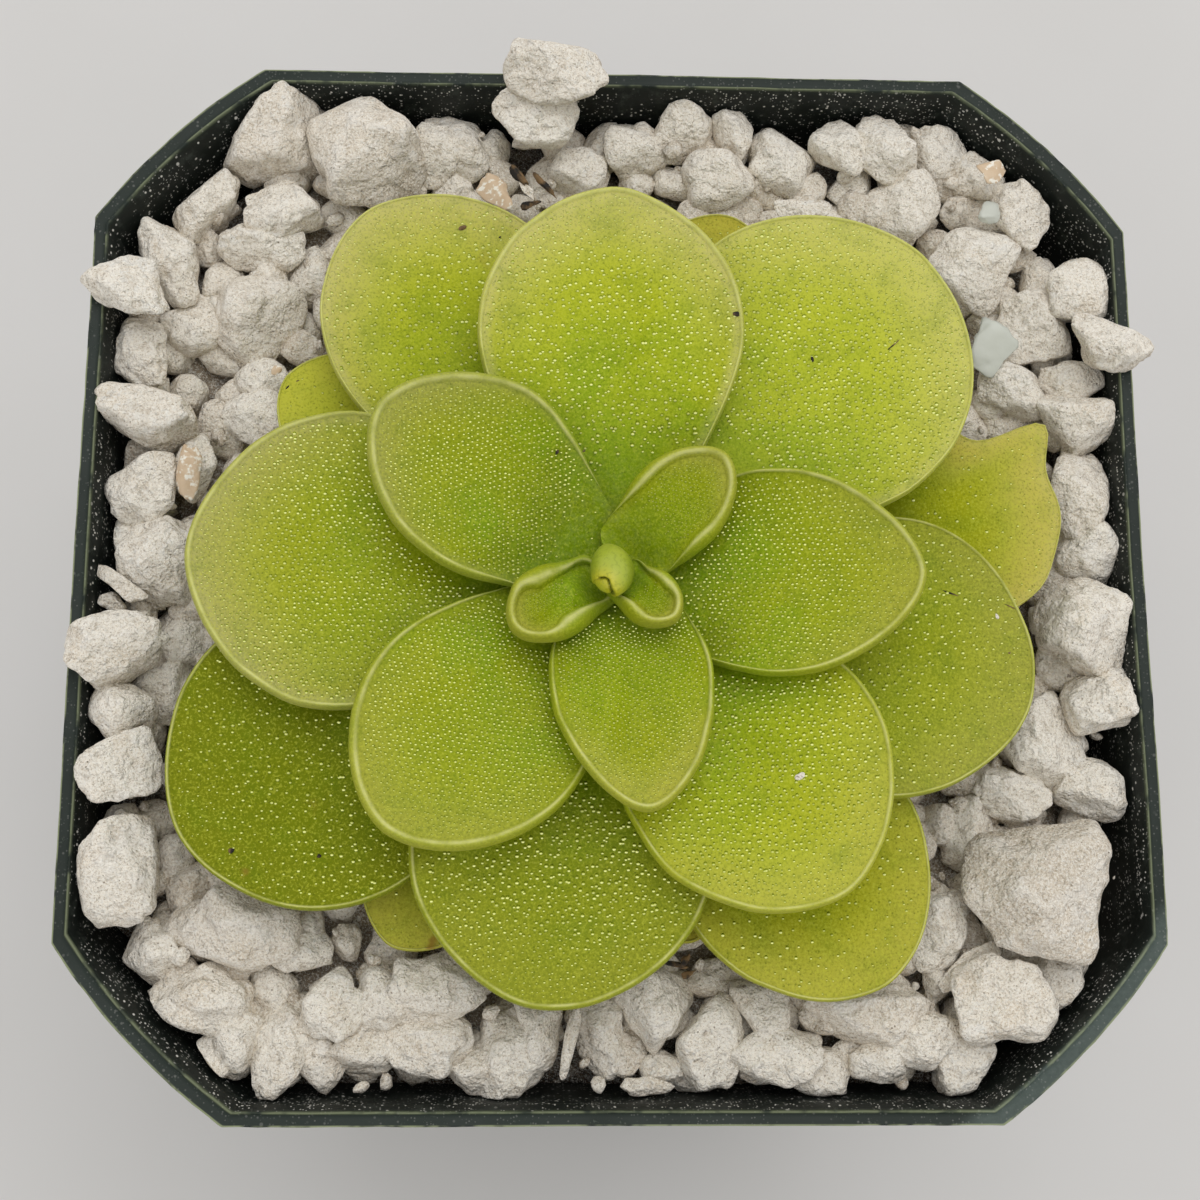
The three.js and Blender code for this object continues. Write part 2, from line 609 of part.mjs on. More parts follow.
const butterwort = new THREE.Group();
butterwort.add(piece("pot", toGeometry(makePot()), finish.pot));
butterwort.add(piece("growing_mix", toGeometry(makeMix()), finish.mix));
butterwort.add(piece("pumice_top_dressing", toGeometry(makePumice()), finish.pumice));
butterwort.add(piece("stem", makeStem(), finish.stem));
butterwort.add(piece("crown_bud", makeBud(), finish.bud));
for (const leaf of leaves) {
  const name = "leaf_" + String(leaf.order + 1).padStart(2, "0");
  butterwort.add(piece(name, makeLeaf(leaf), leafLook(leaf.order)));
}

export default butterwort;
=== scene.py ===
"""A butterwort in its square nursery pot: the looks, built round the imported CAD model.

Lengths are in millimetres until a mesh is made, and places are in the CAD model's own frame.
"""

import functools
import itertools
import math
from dataclasses import dataclass

import bmesh
import bpy
import numpy as np
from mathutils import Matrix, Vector


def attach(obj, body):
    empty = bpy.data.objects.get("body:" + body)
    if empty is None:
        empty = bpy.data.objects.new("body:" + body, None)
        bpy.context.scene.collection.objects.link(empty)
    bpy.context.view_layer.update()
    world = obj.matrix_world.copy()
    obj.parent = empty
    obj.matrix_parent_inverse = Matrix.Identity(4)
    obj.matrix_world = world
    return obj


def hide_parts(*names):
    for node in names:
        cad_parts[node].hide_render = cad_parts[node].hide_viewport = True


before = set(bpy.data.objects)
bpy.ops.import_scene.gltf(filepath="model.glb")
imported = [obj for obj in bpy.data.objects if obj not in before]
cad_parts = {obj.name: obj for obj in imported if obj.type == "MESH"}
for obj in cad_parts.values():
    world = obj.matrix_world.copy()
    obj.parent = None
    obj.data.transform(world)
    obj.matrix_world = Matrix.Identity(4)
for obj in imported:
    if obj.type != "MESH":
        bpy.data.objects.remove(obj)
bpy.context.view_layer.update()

MM = 0.001

# ---- driving dimensions, as the CAD model has them
CROWN = np.array([-0.6, -1.8])
RIM_HALF = 43
POT_HEIGHT = 86
BED_FOOT, BED_TOP = 72.4, 80.2
CHAMFER_SHARE = 0.313  # of the pot's half width, the length that each chamfer takes off a flat
CHAMFER_REACH = 2 - CHAMFER_SHARE  # |x| + |y| along a chamfer, in half widths
STEM_THICK, STEM_THICK_TO, STEM_TIP, STEM_TOP = 3.4, 88, 1.3, 94.6
BASE_HEIGHT = 86
BASE_STEP = 0.42
BASE_HALF_WIDTH = 2.8
CLEARANCE = 0.3
LEAF_THIN, LEAF_THICK = 0.7, 1.3
LEAF_GAP = 0.42
DRAPE_SOFTNESS = 1
DRAPE_FALL = 0.35
ROUNDNESS = 0.55
WIDEST = 0.58
SEAT_NEAR_WALL, SEAT_MIDDLE = 82.3, 84
STONE_FLATNESS = 0.42

# ---- what only the looks need
RANDOM_SEED = 2024
FILL_TOP = 82.2
FILL_PITCH = 3.7
FILL_CLEAR, GRIT_CLEAR = 20, 22  # no stones nearer to the crown than this
GRIT_COUNT = 520
OUTLINE_STEPS = 52  # points along each side of a leaf
TOP_RINGS, ROLL_RINGS = 20, 14
CREST = 0.52  # place of the roll's crest on the way from the outline, 0, to its inner edge, 1
BASE_EXTRA = 1.3  # the leaves' bases run in under the bud by this much
BASE_SINK = 0.95  # and their edges sink into the leaf below,
BASE_MERGED = 0.42  # up to this share of the length
STONE_ROOM = 1.1  # stones are a little larger than their outlines in the table
SHADED_FOOT = 0.42  # how much darker a stone's tint is painted at its foot: painted shade where the stones touch
CORNER_BULGE_SHARE = 0.014
SIDE_POINTS, CHAMFER_POINTS = 44, 24
DRAIN_RADIUS, DRAIN_OFFSET, DRAIN_SIDES = 3, 17, 32


@dataclass
class Leaf:
    """One leaf: the CAD model's driving values, then what only its looks need."""
    azimuth: float
    reach: float
    width: float
    full: float
    rise: tuple
    cup: float
    lip: float
    roll: tuple  # width of the rolled margin in mm along the sides and at the tip
    dew: float  # spacing of the droplets in mm
    age: float  # 0 for fresh green, 1 for an old yellow leaf
    bare: float = 0.2  # share of the blade's length at the stem without droplets
    tone: float = 0  # below 0 for a light green, up to 1 for a dark olive one
    pale: float = 0.3  # how far the tip pales to beige
    bend: float = 0
    plump: float = 1  # 1 for a roll that slopes down to the blade, 2 for one as round as a tube
    bulges: tuple = ()  # (angle in degrees, share of the radius, spread in degrees)


LEAVES = [
    Leaf(314, 6.6, 4.5, 1.2, (30, 16), 0.5, 0.8, (1.25, 0.75), 0.26, 0.5, 0.3, 0.15, plump=2),
    Leaf(215, 9.3, 6, 1.4, (24, 8), 0.5, 0.8, (1.85, 0.8), 0.28, 0.4, 0.3, 0.15, plump=2),
    Leaf(42.5, 11.5, 7.5, 1.2, (28, 12), 0.6, 0.7, (1.25, 0.85), 0.31, 0.3, 0.3, 0.15, plump=1.6),
    Leaf(278, 18.9, 12, 0.9, (22, 6), 1, 0.5, (0.6, 0.7), 0.36, 0.2, 0.12, 0),
    Leaf(147, 21, 14.8, 1.1, (20, 4), 1.3, 0.5, (0.75, 0.9), 0.42, 0.2, 0.16, 0.55, 0.6),
    Leaf(357, 23.1, 15.8, 1, (18, 2), 1.3, 0.45, (0.4, 0.75), 0.46, 0.25, 0.16, 0.45),
    Leaf(230, 26, 17.4, 1.3, (17, 0), 1.1, 0.4, (0.5, 0.9), 0.42, 0.2, 0.2, 0.45),
    Leaf(90.5, 29.6, 20.4, 1.4, (15, -1), 1.1, 0.35, (0.35, 0.65), 0.62, 0.3, 0.25, -0.15, 0.9),
    Leaf(305, 29.8, 20.2, 1.3, (14, -3), 1, 0.35, (0.4, 0.6), 0.52, 0.25, 0.2, 0.05),
    Leaf(178.5, 32.1, 23, 1.4, (12, -4), 1, 0.3, (0.4, 0.7), 0.50, 0.45, 0.25, 0.4, 0.85),
    Leaf(46, 35.4, 24.8, 1.5, (11, -4), 1, 0.3, (0.3, 0.4), 0.56, 0.45, 0.36, -0.4, 1),
    Leaf(260, 33, 22.6, 1.5, (9, -7), 0.8, 0.25, (0.4, 0.6), 0.56, 0.3, 0.3, 0.7, 0.15),
    Leaf(122, 35.4, 19.8, 1.6, (9, -6), 0.8, 0.25, (0.3, 0.35), 0.72, 0.6, 0.4, 0.05, 0.8),
    Leaf(344, 33.7, 22, 1.5, (9, -7), 0.8, 0.25, (0.3, 0.4), 0.80, 0.5, 0.3, 0.5, 0.4),
    Leaf(212, 38, 23.6, 1.6, (9, -9), 0.8, 0.25, (0.35, 0.45), 0.76, 0.7, 0.3, 1.0, 0.1),
    Leaf(72, 32, 15, 1.5, (8, -8), 0.4, 0.2, (0.3, 0.3), 1.1, 0.8, 0.5, 0.1),
    Leaf(304, 37.3, 19.4, 1.7, (8, -9), 0.4, 0.2, (0.35, 0.4), 1.05, 0.6, 0.4, 0.05),
    Leaf(147, 31, 13, 1.7, (7, -9), 0.3, 0.2, (0.3, 0.3), 2.0, 0.75, 0.6, -0.6),
    Leaf(
        9, 37.8, 17.6, 1.9, (8, -8), -0.4, 0.2, (0.25, 0.25), 1.6, 0.9, 0.6, 0.05, 0.6, bend=3,
        bulges=((22, 0.17, 8), (40, -0.16, 16), (3, -0.08, 11), (-33, 0.055, 9)),
    ),
    Leaf(239, 32.4, 13, 1.7, (6, -8), 0.3, 0.2, (0.3, 0.3), 2.0, 0.7, 0.6, 0.1),
    Leaf(283, 28.4, 11, 1.6, (6, -8), 0.2, 0.2, (0.3, 0.3), 2.0, 0.8, 0.6, 0),
]

# Stones in sight: x, y, length, width, turn in degrees, lift over the usual seat; 0 is left out.
STONES = [
    (-5, 41.9, 8.2, 5.4, 0, 5.4), (-6.7, 38.9, 6.8, 5, 0, 3.4), (-28.3, 38.7, 9.4, 8.2, 60, 1),
    (-20.8, 36.3, 9.4, 8.8, 0, 1.4), (-34.8, 31.7, 6.6, 5, 80), (-27.9, 31.5, 6, 5),
    (-37, 26.7, 8, 4.4, 110), (-39.8, 23.1, 6.8, 4.8, -10, 4.4), (-29.7, 28.3, 6.8, 4),
    (-29.7, 22.3, 7.8, 7.2, 40), (-39.2, 18.9, 6.2, 4.2, 90, 0.6), (-35, 20.9, 5.2, 4),
    (-38.2, 12.9, 7.9, 4.4, -20, 2), (-29.5, 16.7, 4.6, 4), (-29.3, 12.9, 5.6, 5),
    (-38.4, 6.7, 5.8, 5.4, 0, 1), (-34.4, 8.9, 5.4, 3.4, 80), (-39, 2.9, 4, 3, 90),
    (-36.4, 1.1, 7, 6.6, 90, 1), (-39, -6.6, 7.4, 5.2, 25, 4.6), (-35, -5.2, 5.6, 4.6, 90),
    (-36.6, -9.8, 5, 5), (-39, -12, 5.4, 5.4, 0, 3.4), (-38.6, -16, 6, 5.2, 0, 3.4),
    (-38.4, -24, 7.8, 5.8, 100, 3), (-38.4, -20.4, 4, 3.4), (-29.9, -28, 10.2, 7, 0, 0.6),
    (-36, -30, 5, 4.4, 90), (-32, -33.4, 7.6, 5, -30, 0.4), (-29.5, -37, 5, 5),
    (-25.5, -37.6, 7, 5, 90), (-24.4, -29.8, 4.6, 3.6), (-21.6, -34.2, 5, 4.8, 0, 0.2),
    (-18.2, -33.6, 5.2, 5, 0, 0.2), (-13.7, -33, 7, 5.6, 0, 0.8), (-14.5, -37.2, 6.6, 4.6),
    (-8.1, -38, 6.2, 5.6, 90), (-5.7, -36.4, 5.2, 3.4, 90, 0.6), (-1.4, -36.4, 6.4, 4.2, 90),
    (3.2, -34.6, 6, 6, 0, 0.8), (7.5, -37, 7, 5, 90, 0.2), (11.3, -34.6, 4.6, 4.4, 90, 0.2),
    (12.7, -38, 6.8, 4.6), (20, -35.4, 9.6, 5.4, 0, 0.2), (20.6, -38.4, 4.2, 3.4),
    (24.8, -37, 6, 4.2), (30.3, -33.8, 8, 6.6, 0, 0.6), (35.6, -32, 5.4, 4.6, 90),
    (32.7, -25, 10.6, 10.4, 0, 2.4), (25.9, -28.4, 6, 5, 90), (28.5, -20.6, 5.4, 4, 90),
    (32.1, -17.4, 6.2, 4.8), (38.2, -17.2, 5.2, 4.8, 0, 0.8), (35.1, -13, 7.4, 6.8, 90, 0.6),
    (39.6, -10, 6, 5, 0, 2.4), (38.4, -4.2, 8, 7.4, 90, 2.6), (39.4, 2.3, 5.6, 5, 0, 1.4),
    (38.6, 7.7, 8, 4.8, 90, 1.2), (38.6, 13.3, 6.4, 5.2, 0, 1.4), (33.5, 16.3, 5.4, 4.8),
    (40.8, 19.1, 6.8, 4.4, -30, 4.4), (38.6, 16.9, 5.4, 3.6, 0, 0.6),
    (39.4, 24.7, 5.4, 5.4, 0, 1.4), (30.5, 26.9, 7, 6.8, 0, 0.2), (35.8, 21.7, 6.6, 6, 90, 0.4),
    (34.9, 31.7, 6, 5, 90), (24.8, 32.3, 6, 6.2, 0, 0.8), (23.4, 37.7, 6.4, 4.6, 90, 1),
    (28.1, 37.7, 5, 4.6), (31.7, 35.7, 4.4, 4.4), (19.6, 38.1, 5, 5),
    (14.7, 37.1, 5.6, 5.8, 0, 0.2), (9.1, 35.1, 5.8, 5.8, 0, 0.2), (6.3, 39.5, 5.4, 5.2, 0, 0.4),
    (10.5, 39.5, 5.2, 3.4, 90, 0.4), (2.2, 37.9, 5.6, 5.4), (-3, 35.3, 4.6, 4.4),
    (-12.7, 37.9, 5.8, 6), (-15.6, 36.9, 5, 5), (-19.4, -37.6, 5.6, 4.8, 20),
    (-10.6, -39.2, 4.6, 3.6, 0, -0.2), (16.4, -39.2, 4.6, 3.6, 10, -0.2),
    (27.6, -38.6, 5, 4, 30, -0.2), (-31, -38.4, 4.6, 3.8, 40, -0.2),
]


# ---- noise and meshes
def lattice_random(cells, seed):
    """A repeatable number from -1 to 1 for each row of three whole numbers."""
    mixed = cells @ np.array([73856093, 19349663, 83492791]) + seed * 1299709
    mixed = ((mixed ^ (mixed >> 13)) * 1274126177) & 0x7FFFFFFF
    mixed = mixed ^ (mixed >> 15)
    return (mixed & 0xFFFF) / 32767.5 - 1


def noise(points, size, seed, octaves=1):
    """Smooth noise, mostly from -1 to 1, at rows of points: its bumps are about size across."""
    total = np.zeros(len(points))
    for octave in range(octaves):
        grid = points * (2.03**octave / size) + 17.3 * (octave + seed)
        cells = np.floor(grid).astype(np.int64)
        part = grid - cells
        fade = part * part * (3 - 2 * part)
        for corner in itertools.product((0, 1), repeat=3):
            share = np.prod(np.where(corner, fade, 1 - fade), axis=1)
            total += share * lattice_random(cells + np.array(corner), seed + octave) / 2**octave
    return total


def smoothstep(x, low, high):
    t = np.clip((x - low) / (high - low), 0, 1)
    return t * t * (3 - 2 * t)


def spin(a, b, degrees):
    """A pair of coordinates turned from the first axis towards the second."""
    c, s = math.cos(math.radians(degrees)), math.sin(math.radians(degrees))
    return a * c - b * s, a * s + b * c


def columns(*values):
    return np.stack(np.broadcast_arrays(*values), axis=1).astype(float)


def add_mesh(name, points, faces, material, fields=None, smooth=True):
    """A mesh object from points in millimetres, with number fields for its material."""
    mesh = bpy.data.meshes.new(name)
    faces = faces.tolist() if isinstance(faces, np.ndarray) else faces
    mesh.from_pydata((np.asarray(points) * MM).tolist(), [], faces)
    mesh.polygons.foreach_set("use_smooth", [smooth] * len(mesh.polygons))
    for field_name, values in (fields or {}).items():
        layer = mesh.attributes.new(field_name, "FLOAT", "POINT")
        layer.data.foreach_set("value", np.asarray(values, np.float32))
    mesh.materials.append(material)
    mesh.update()
    return add_object(name, mesh)


def add_object(name, data):
    thing = bpy.data.objects.new(name, data)
    bpy.context.scene.collection.objects.link(thing)
    return thing


def settle(piece, slot, *nodes):
    """Every piece rides on the part's one body; slot is not used."""
    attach(piece, "root")
    if nodes:
        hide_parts(*nodes)
    return piece


def pairs(first, second):
    """Every value of the first with every value of the second."""
    return [grid.ravel() for grid in np.meshgrid(first, second, indexing="ij")]


def grid_faces(rings, count):
    """Quads between rings of count points each, with the first ring lowest or innermost."""
    ring, i = pairs(np.arange(rings - 1), np.arange(count))
    a, b = ring * count + i, ring * count + (i + 1) % count
    return columns(a, b, b + count, a + count).astype(int)


def end_fans(rings, count):
    """Triangles from the first and the last ring to the two points that follow all the rings."""
    hub = rings * count
    last = hub - count
    ahead = [(i, (i + 1) % count) for i in range(count)]
    return [(j, i, hub) for i, j in ahead] + [(last + i, last + j, hub + 1) for i, j in ahead]


def shell_faces(rings, count):
    return grid_faces(rings, count).tolist() + end_fans(rings, count)


def joined(parts):
    """Several (points, triangles, ...) joined to one, with the number of points of each."""
    counts = np.array([len(part[0]) for part in parts])
    starts = np.concatenate([[0], np.cumsum(counts)[:-1]])
    points = np.concatenate([part[0] for part in parts])
    faces = np.concatenate([part[1] + start for part, start in zip(parts, starts)])
    return points, faces, counts


# ---- materials
class Shader:
    """A material's node tree, built with short calls."""

    def __init__(self, name):
        self.material = bpy.data.materials.new(name)
        self.material.use_nodes = True
        self.tree = self.material.node_tree
        self.surface = self.tree.nodes["Principled BSDF"]
        coordinates = self.tree.nodes.new("ShaderNodeTexCoord")
        self.place = coordinates.outputs["Object"]
        self.normal = coordinates.outputs["Normal"]

    def node(self, kind, settings=None, **inputs):
        """A node with its settings and inputs, each a number, a colour or another's output."""
        node = self.tree.nodes.new("ShaderNode" + kind)
        for name, value in (settings or {}).items():
            setattr(node, name, value)
        return self.fill(node, inputs)

    def fill(self, node, inputs):
        for name, value in inputs.items():
            key = int(name[1:]) if name[0] == "_" else name.replace("_", " ")
            self.set(node.inputs[key], value)
        return node

    def set(self, socket, value):
        if isinstance(value, bpy.types.NodeSocket):
            self.tree.links.new(value, socket)
        else:
            socket.default_value = value

    def finish(self, **inputs):
        self.fill(self.surface, inputs)
        return self.material

    def attribute(self, name):
        return self.node("Attribute", {"attribute_name": name}).outputs["Fac"]

    def noise(self, size, detail=3, roughness=0.55, place=None):
        """Noise from 0 to 1 whose bumps are about size millimetres across."""
        settings = {"Detail": detail, "Roughness": roughness, "Scale": 1 / (size * MM)}
        return self.node("TexNoise", Vector=place or self.place, **settings).outputs["Fac"]

    def patches(self, size, detail, low, high, roughness=0.55):
        """Soft patches of noise: 0 where it is below low and 1 where it is above high."""
        return self.between(self.noise(size, detail, roughness), low, high)

    def cells(self, size, randomness=1.0):
        """Cells about size millimetres across: the distance to each middle, and a random colour."""
        scale = 1 / (size * MM)
        made = self.node("TexVoronoi", Vector=self.place, Scale=scale, Randomness=randomness)
        return made.outputs["Distance"], made.outputs["Color"]

    def ramp(self, value, *stops):
        """Colours at places along a value, each stop (place, RGB triple)."""
        made = self.node("ValToRGB", Fac=value)
        elements = made.color_ramp.elements
        while len(elements) < len(stops):
            elements.new(0.5)
        for element, (place, colour) in zip(elements, stops):
            element.position = place
            element.color = (*colour, 1)
        return made.outputs["Color"]

    def mix(self, factor, a, b):
        made = self.node("Mix", {"data_type": "RGBA"}, _0=factor)
        for index, colour in ((6, a), (7, b)):
            self.set(made.inputs[index], (*colour, 1) if isinstance(colour, tuple) else colour)
        return made.outputs[2]

    def layers(self, colour, *layers):
        """Colours laid over each other, each (colour, amounts) by the product of its amounts."""
        for over, *amounts in layers:
            colour = self.mix(self.times(*amounts), colour, over)
        return colour

    def math(self, operation, a, b):
        return self.node("Math", {"operation": operation}, _0=a, _1=b).outputs[0]

    def times(self, *values):
        return functools.reduce(lambda a, b: self.math("MULTIPLY", a, b), values)

    def plus(self, a, b):
        return self.math("ADD", a, b)

    def between(self, value, low, high):
        """0 below low, 1 above high, smooth between; low may be above high."""
        settings = {"interpolation_type": "SMOOTHSTEP"}
        return self.node("MapRange", settings, Value=value, _1=low, _2=high).outputs["Result"]

    def bump(self, height, distance, strength, normal=None):
        made = self.node("Bump", Height=height, Distance=distance * MM, Strength=strength)
        if normal is not None:
            self.set(made.inputs["Normal"], normal)
        return made.outputs["Normal"]

    def grain(self, size, detail, distance, strength, normal=None):
        return self.bump(self.noise(size, detail), distance, strength, normal)


LIVING_TISSUE = {"Subsurface_Weight": 0.25, "Subsurface_Radius": (1.0, 1.0, 0.2)}


def leaf_material(name, base, middle, tip, gland_size, gloss):
    """Fleshy leaf: greener near the stem, paler and yellower at the tip and the rolled margin, with
    a painted highlight along the roll's crest and dark dots of painted shade at the glands.
    """
    s = Shader(name)
    fields = ("along", "outward", "margin", "crest", "age", "tone", "pale")
    along, outward, margin, crest, age, tone, pale = map(s.attribute, fields)
    drift = s.times(s.math("SUBTRACT", s.noise(7, 2), 0.5), 0.55)
    turned = s.mix(s.between(age, 0.6, 0.9), (0.42, 0.40, 0.006), (0.54, 0.42, 0.004))
    tip_side = s.times(s.between(along, 0.4, 0.92), s.between(outward, 0.2, 0.95))
    edge = s.times(s.between(outward, 0.86, 1.0), s.between(pale, 0.3, 1.0))
    fresh = s.times(s.patches(6, 2, 0.46, 0.62), s.between(along, 0.8, 0.3))
    grain = s.noise(0.2, 3, 0.65)
    haze = s.times(s.between(along, 0.42, 0.05), s.patches(0.35, 2, 0.35, 0.7))
    glands = s.between(s.cells(gland_size, 0.7)[0], 0.25, 0.10)
    glands = s.times(glands, s.between(margin, 0.4, 0.05))
    rim = s.mix(s.noise(1.6, 2), (0.29, 0.34, 0.02), (0.38, 0.41, 0.05))
    uneven = s.plus(s.times(s.patches(2.2, 3, 0.32, 0.62), 0.5), 0.3)
    spoilt = s.times(s.patches(5, 3, 0.66, 0.74), s.between(age, 0.5, 0.75))
    colour = s.layers(
        s.ramp(s.plus(along, drift), (0.05, base), (0.5, middle), (1.0, tip)),
        (turned, s.between(outward, 0.5, 0.95), age),
        ((0.58, 0.54, 0.17), tip_side, pale),
        ((0.62, 0.57, 0.22), edge, 0.65),
        ((0.135, 0.178, 0.001), tone, 0.8),
        ((0.60, 0.65, 0.06), tone, -0.8),
        ((0.13, 0.22, 0.004), s.patches(2.4, 4, 0.45, 0.75), 0.3),
        ((0.19, 0.34, 0.003), fresh, 0.45),
        ((0.13, 0.19, 0.002), s.between(grain, 0.48, 0.36), 0.35),
        ((0.56, 0.60, 0.06), s.between(grain, 0.50, 0.64), 0.4),
        ((0.34, 0.40, 0.13), haze, 0.22),
        # Painted shade: dark dots at the glands, for the shade of their stalks and pits.
        ((0.075, 0.11, 0.002), glands, 0.45),
        (rim, margin, 0.3),
        # Painted highlight: a pale line along the crest of each rolled margin.
        ((0.74, 0.74, 0.30), crest, uneven),
        ((0.32, 0.17, 0.03), spoilt, outward),
    )
    s.surface.subsurface_method = "RANDOM_WALK"
    return s.finish(
        Base_Color=colour, Roughness=0.45, IOR=1.4, Specular_IOR_Level=gloss,
        Normal=s.grain(1.1, 3, 0.12, 0.35, s.grain(0.22, 3, 0.04, 0.6)),
        Subsurface_Scale=0.0008, **LIVING_TISSUE,
    )


def bud_material():
    s = Shader("rolled_bud")
    colour = s.layers(
        s.mix(s.noise(1.6, 2), (0.36, 0.44, 0.03), (0.44, 0.50, 0.06)),
        ((0.19, 0.26, 0.006), s.attribute("low"), 0.75),
        ((0.58, 0.54, 0.03), s.attribute("yellow"), 0.9),
        ((0.13, 0.18, 0.003), s.patches(0.25, 3, 0.50, 0.34), 0.3),
        # Painted shade: the seam is painted dark.
        ((0.05, 0.08, 0.002), s.attribute("seam"), 0.85),
    )
    return s.finish(
        Base_Color=colour, Roughness=0.42, Normal=s.grain(0.25, 3, 0.03, 0.5),
        Subsurface_Scale=0.0006, **LIVING_TISSUE,
    )


def dew_material():
    """Sticky droplets, each with a painted highlight that glows on the side away from the window
    and painted shade on the side towards it.
    """
    s = Shader("sticky_droplets")
    facing = s.node("SeparateXYZ", Vector=s.normal).outputs[1]
    # Painted highlight: each bead is painted pale where it faces away from the window, as strongly
    # as its glint field says.
    painted_highlight = s.times(s.between(facing, -0.05, -0.45), s.attribute("glint"))
    # Painted shade: the side of each bead facing the window is painted darker.
    body = s.mix(s.between(facing, 0.1, 0.55), (0.40, 0.46, 0.035), (0.22, 0.28, 0.007))
    # The painted highlight also glows by emission, though the beads are no lamp.
    return s.finish(
        Base_Color=s.mix(painted_highlight, body, (0.90, 0.93, 0.34)), Roughness=0.25, IOR=1.35,
        Specular_IOR_Level=0.3, Emission_Strength=0.35,
        Emission_Color=s.mix(painted_highlight, (0.0, 0.0, 0.0), (0.90, 0.95, 0.42)),
    )


def pumice_material():
    """Chalky volcanic stone: warm cream, powdery on its edges, with grains and stains, and pores
    painted dark as shade.
    """
    s = Shader("pumice")
    cloudy, grains = s.noise(1.3, 3, 0.6), s.noise(0.18, 3, 0.8)
    crust = s.times(s.patches(0.7, 3, 0.54, 0.62, 0.6), s.patches(5, 2, 0.54, 0.64))
    ragged = s.times(s.noise(0.18, 3), 0.30)
    small = s.between(s.plus(s.cells(0.55)[0], ragged), 0.30, 0.22)
    large = s.between(s.plus(s.cells(3.4)[0], s.times(ragged, 0.4)), 0.125, 0.10)
    small = s.times(small, s.patches(2.2, 2, 0.44, 0.56))
    large = s.times(large, s.patches(6, 1, 0.60, 0.66))
    tinted = s.ramp(
        s.attribute("tint"), (0.0, (0.085, 0.06, 0.04)), (0.15, (0.42, 0.35, 0.265)),
        (0.35, (0.64, 0.56, 0.45)), (0.65, (0.88, 0.80, 0.68)), (1.0, (1.0, 0.94, 0.83)),
    )
    colour = s.layers(
        tinted,
        ((0.74, 0.60, 0.42), s.patches(3.2, 2, 0.52, 0.70, 0.6), 0.3),
        ((0.52, 0.43, 0.32), s.between(cloudy, 0.48, 0.34), 0.35),
        ((0.42, 0.33, 0.23), s.between(grains, 0.46, 0.36), 0.6),
        ((1.0, 0.97, 0.89), s.between(grains, 0.49, 0.60), 0.75),
        ((1.0, 0.97, 0.91), s.attribute("ridge"), 0.4),
        ((0.96, 0.94, 0.88), crust, 0.6),
        # Painted shade: the pores are painted dark, for the shade inside them.
        ((0.16, 0.115, 0.07), s.math("MAXIMUM", small, large), 0.7),
    )
    rough = s.bump(cloudy, 1.1, 1.0, s.bump(grains, 0.15, 0.9))
    return s.finish(Base_Color=colour, Roughness=0.95, Specular_IOR_Level=0.12, Normal=rough)


def pot_material():
    """Dark green moulded plastic: satin outside, dusty and scratched inside and on the rim; the
    inside has painted shade, one chamfer a painted reflection, and the rim's edges painted
    highlights with wear.
    """
    s = Shader("pot_plastic")
    inside, worn = s.attribute("inside"), s.attribute("worn")
    x, y, z = s.node("SeparateXYZ", Vector=s.place).outputs
    top = s.between(z, 0.0832, 0.0842)
    # Painted reflection: the chamfer towards +x, -y is painted with streaks that mirror the window.
    painted_window_streaks = s.mix(s.noise(0.35, 3, 0.7), (0.05, 0.075, 0.065), (0.13, 0.165, 0.15))
    corner = s.between(s.math("SUBTRACT", x, y), 0.0685, 0.0708)
    stretched = s.node("Mapping", Vector=s.place, Scale=(1.0, 1.0, 0.18)).outputs[0]
    scratch = s.between(s.noise(0.5, 3, 0.7, stretched), 0.60, 0.68)
    scratch = s.times(scratch, s.patches(6, 1, 0.42, 0.6))
    dusty = s.math("MAXIMUM", inside, s.times(top, 0.12))
    specks = []
    for size, radius, share in ((0.24, 0.36, 0.45), (0.42, 0.32, 0.35), (1.1, 0.17, 0.3)):
        distance, random = s.cells(size)
        picked = s.node("SeparateColor", Color=random).outputs[0]
        picked = s.between(picked, 1 - share, 1 - 0.6 * share)
        speck = s.times(s.between(distance, radius, 0.5 * radius), picked)
        where = s.times(dusty, s.patches(3 + 4 * size, 1, 0.34, 0.54))
        specks.append(((0.70, 0.69, 0.65), speck, where, 0.9))
    colour = s.layers(
        s.mix(s.noise(9, 2), (0.008, 0.014, 0.010), (0.016, 0.026, 0.020)),
        (painted_window_streaks, s.math("SUBTRACT", 1.0, inside), s.times(top, 0.65), corner),
        ((0.16, 0.19, 0.16), scratch, 0.3),
        # Painted shade: the inside is painted darker than the same plastic outside.
        ((0.003, 0.004, 0.0035), inside, 0.7),
        ((0.12, 0.14, 0.12), s.patches(1.6, 3, 0.50, 0.75, 0.7), s.times(inside, 0.22)),
        *specks,
        # Painted highlight with wear: the rim's edges are painted pale, for the light they catch
        # and for their chips.
        ((0.40, 0.45, 0.25), worn, s.patches(3.5, 3, 0.36, 0.54, 0.7), 0.75),
    )
    return s.finish(
        Base_Color=colour, Roughness=s.plus(0.42, s.times(s.noise(3, 1), 0.2)),
        Specular_IOR_Level=0.3, Normal=s.bump(scratch, 0.05, 0.6, s.grain(0.35, 3, 0.03, 0.5)),
    )


def shell_material():
    """Thin tan flakes of shell: warm and smooth inside, with pale chipped edges."""
    s = Shader("tan_shell")
    colour = s.mix(s.noise(0.9, 3), (0.55, 0.38, 0.22), (0.74, 0.60, 0.44))
    colour = s.mix(s.patches(0.5, 3, 0.52, 0.64), colour, (0.88, 0.84, 0.74))
    return s.finish(Base_Color=colour, Roughness=0.55, Normal=s.grain(0.4, 3, 0.08, 0.6))


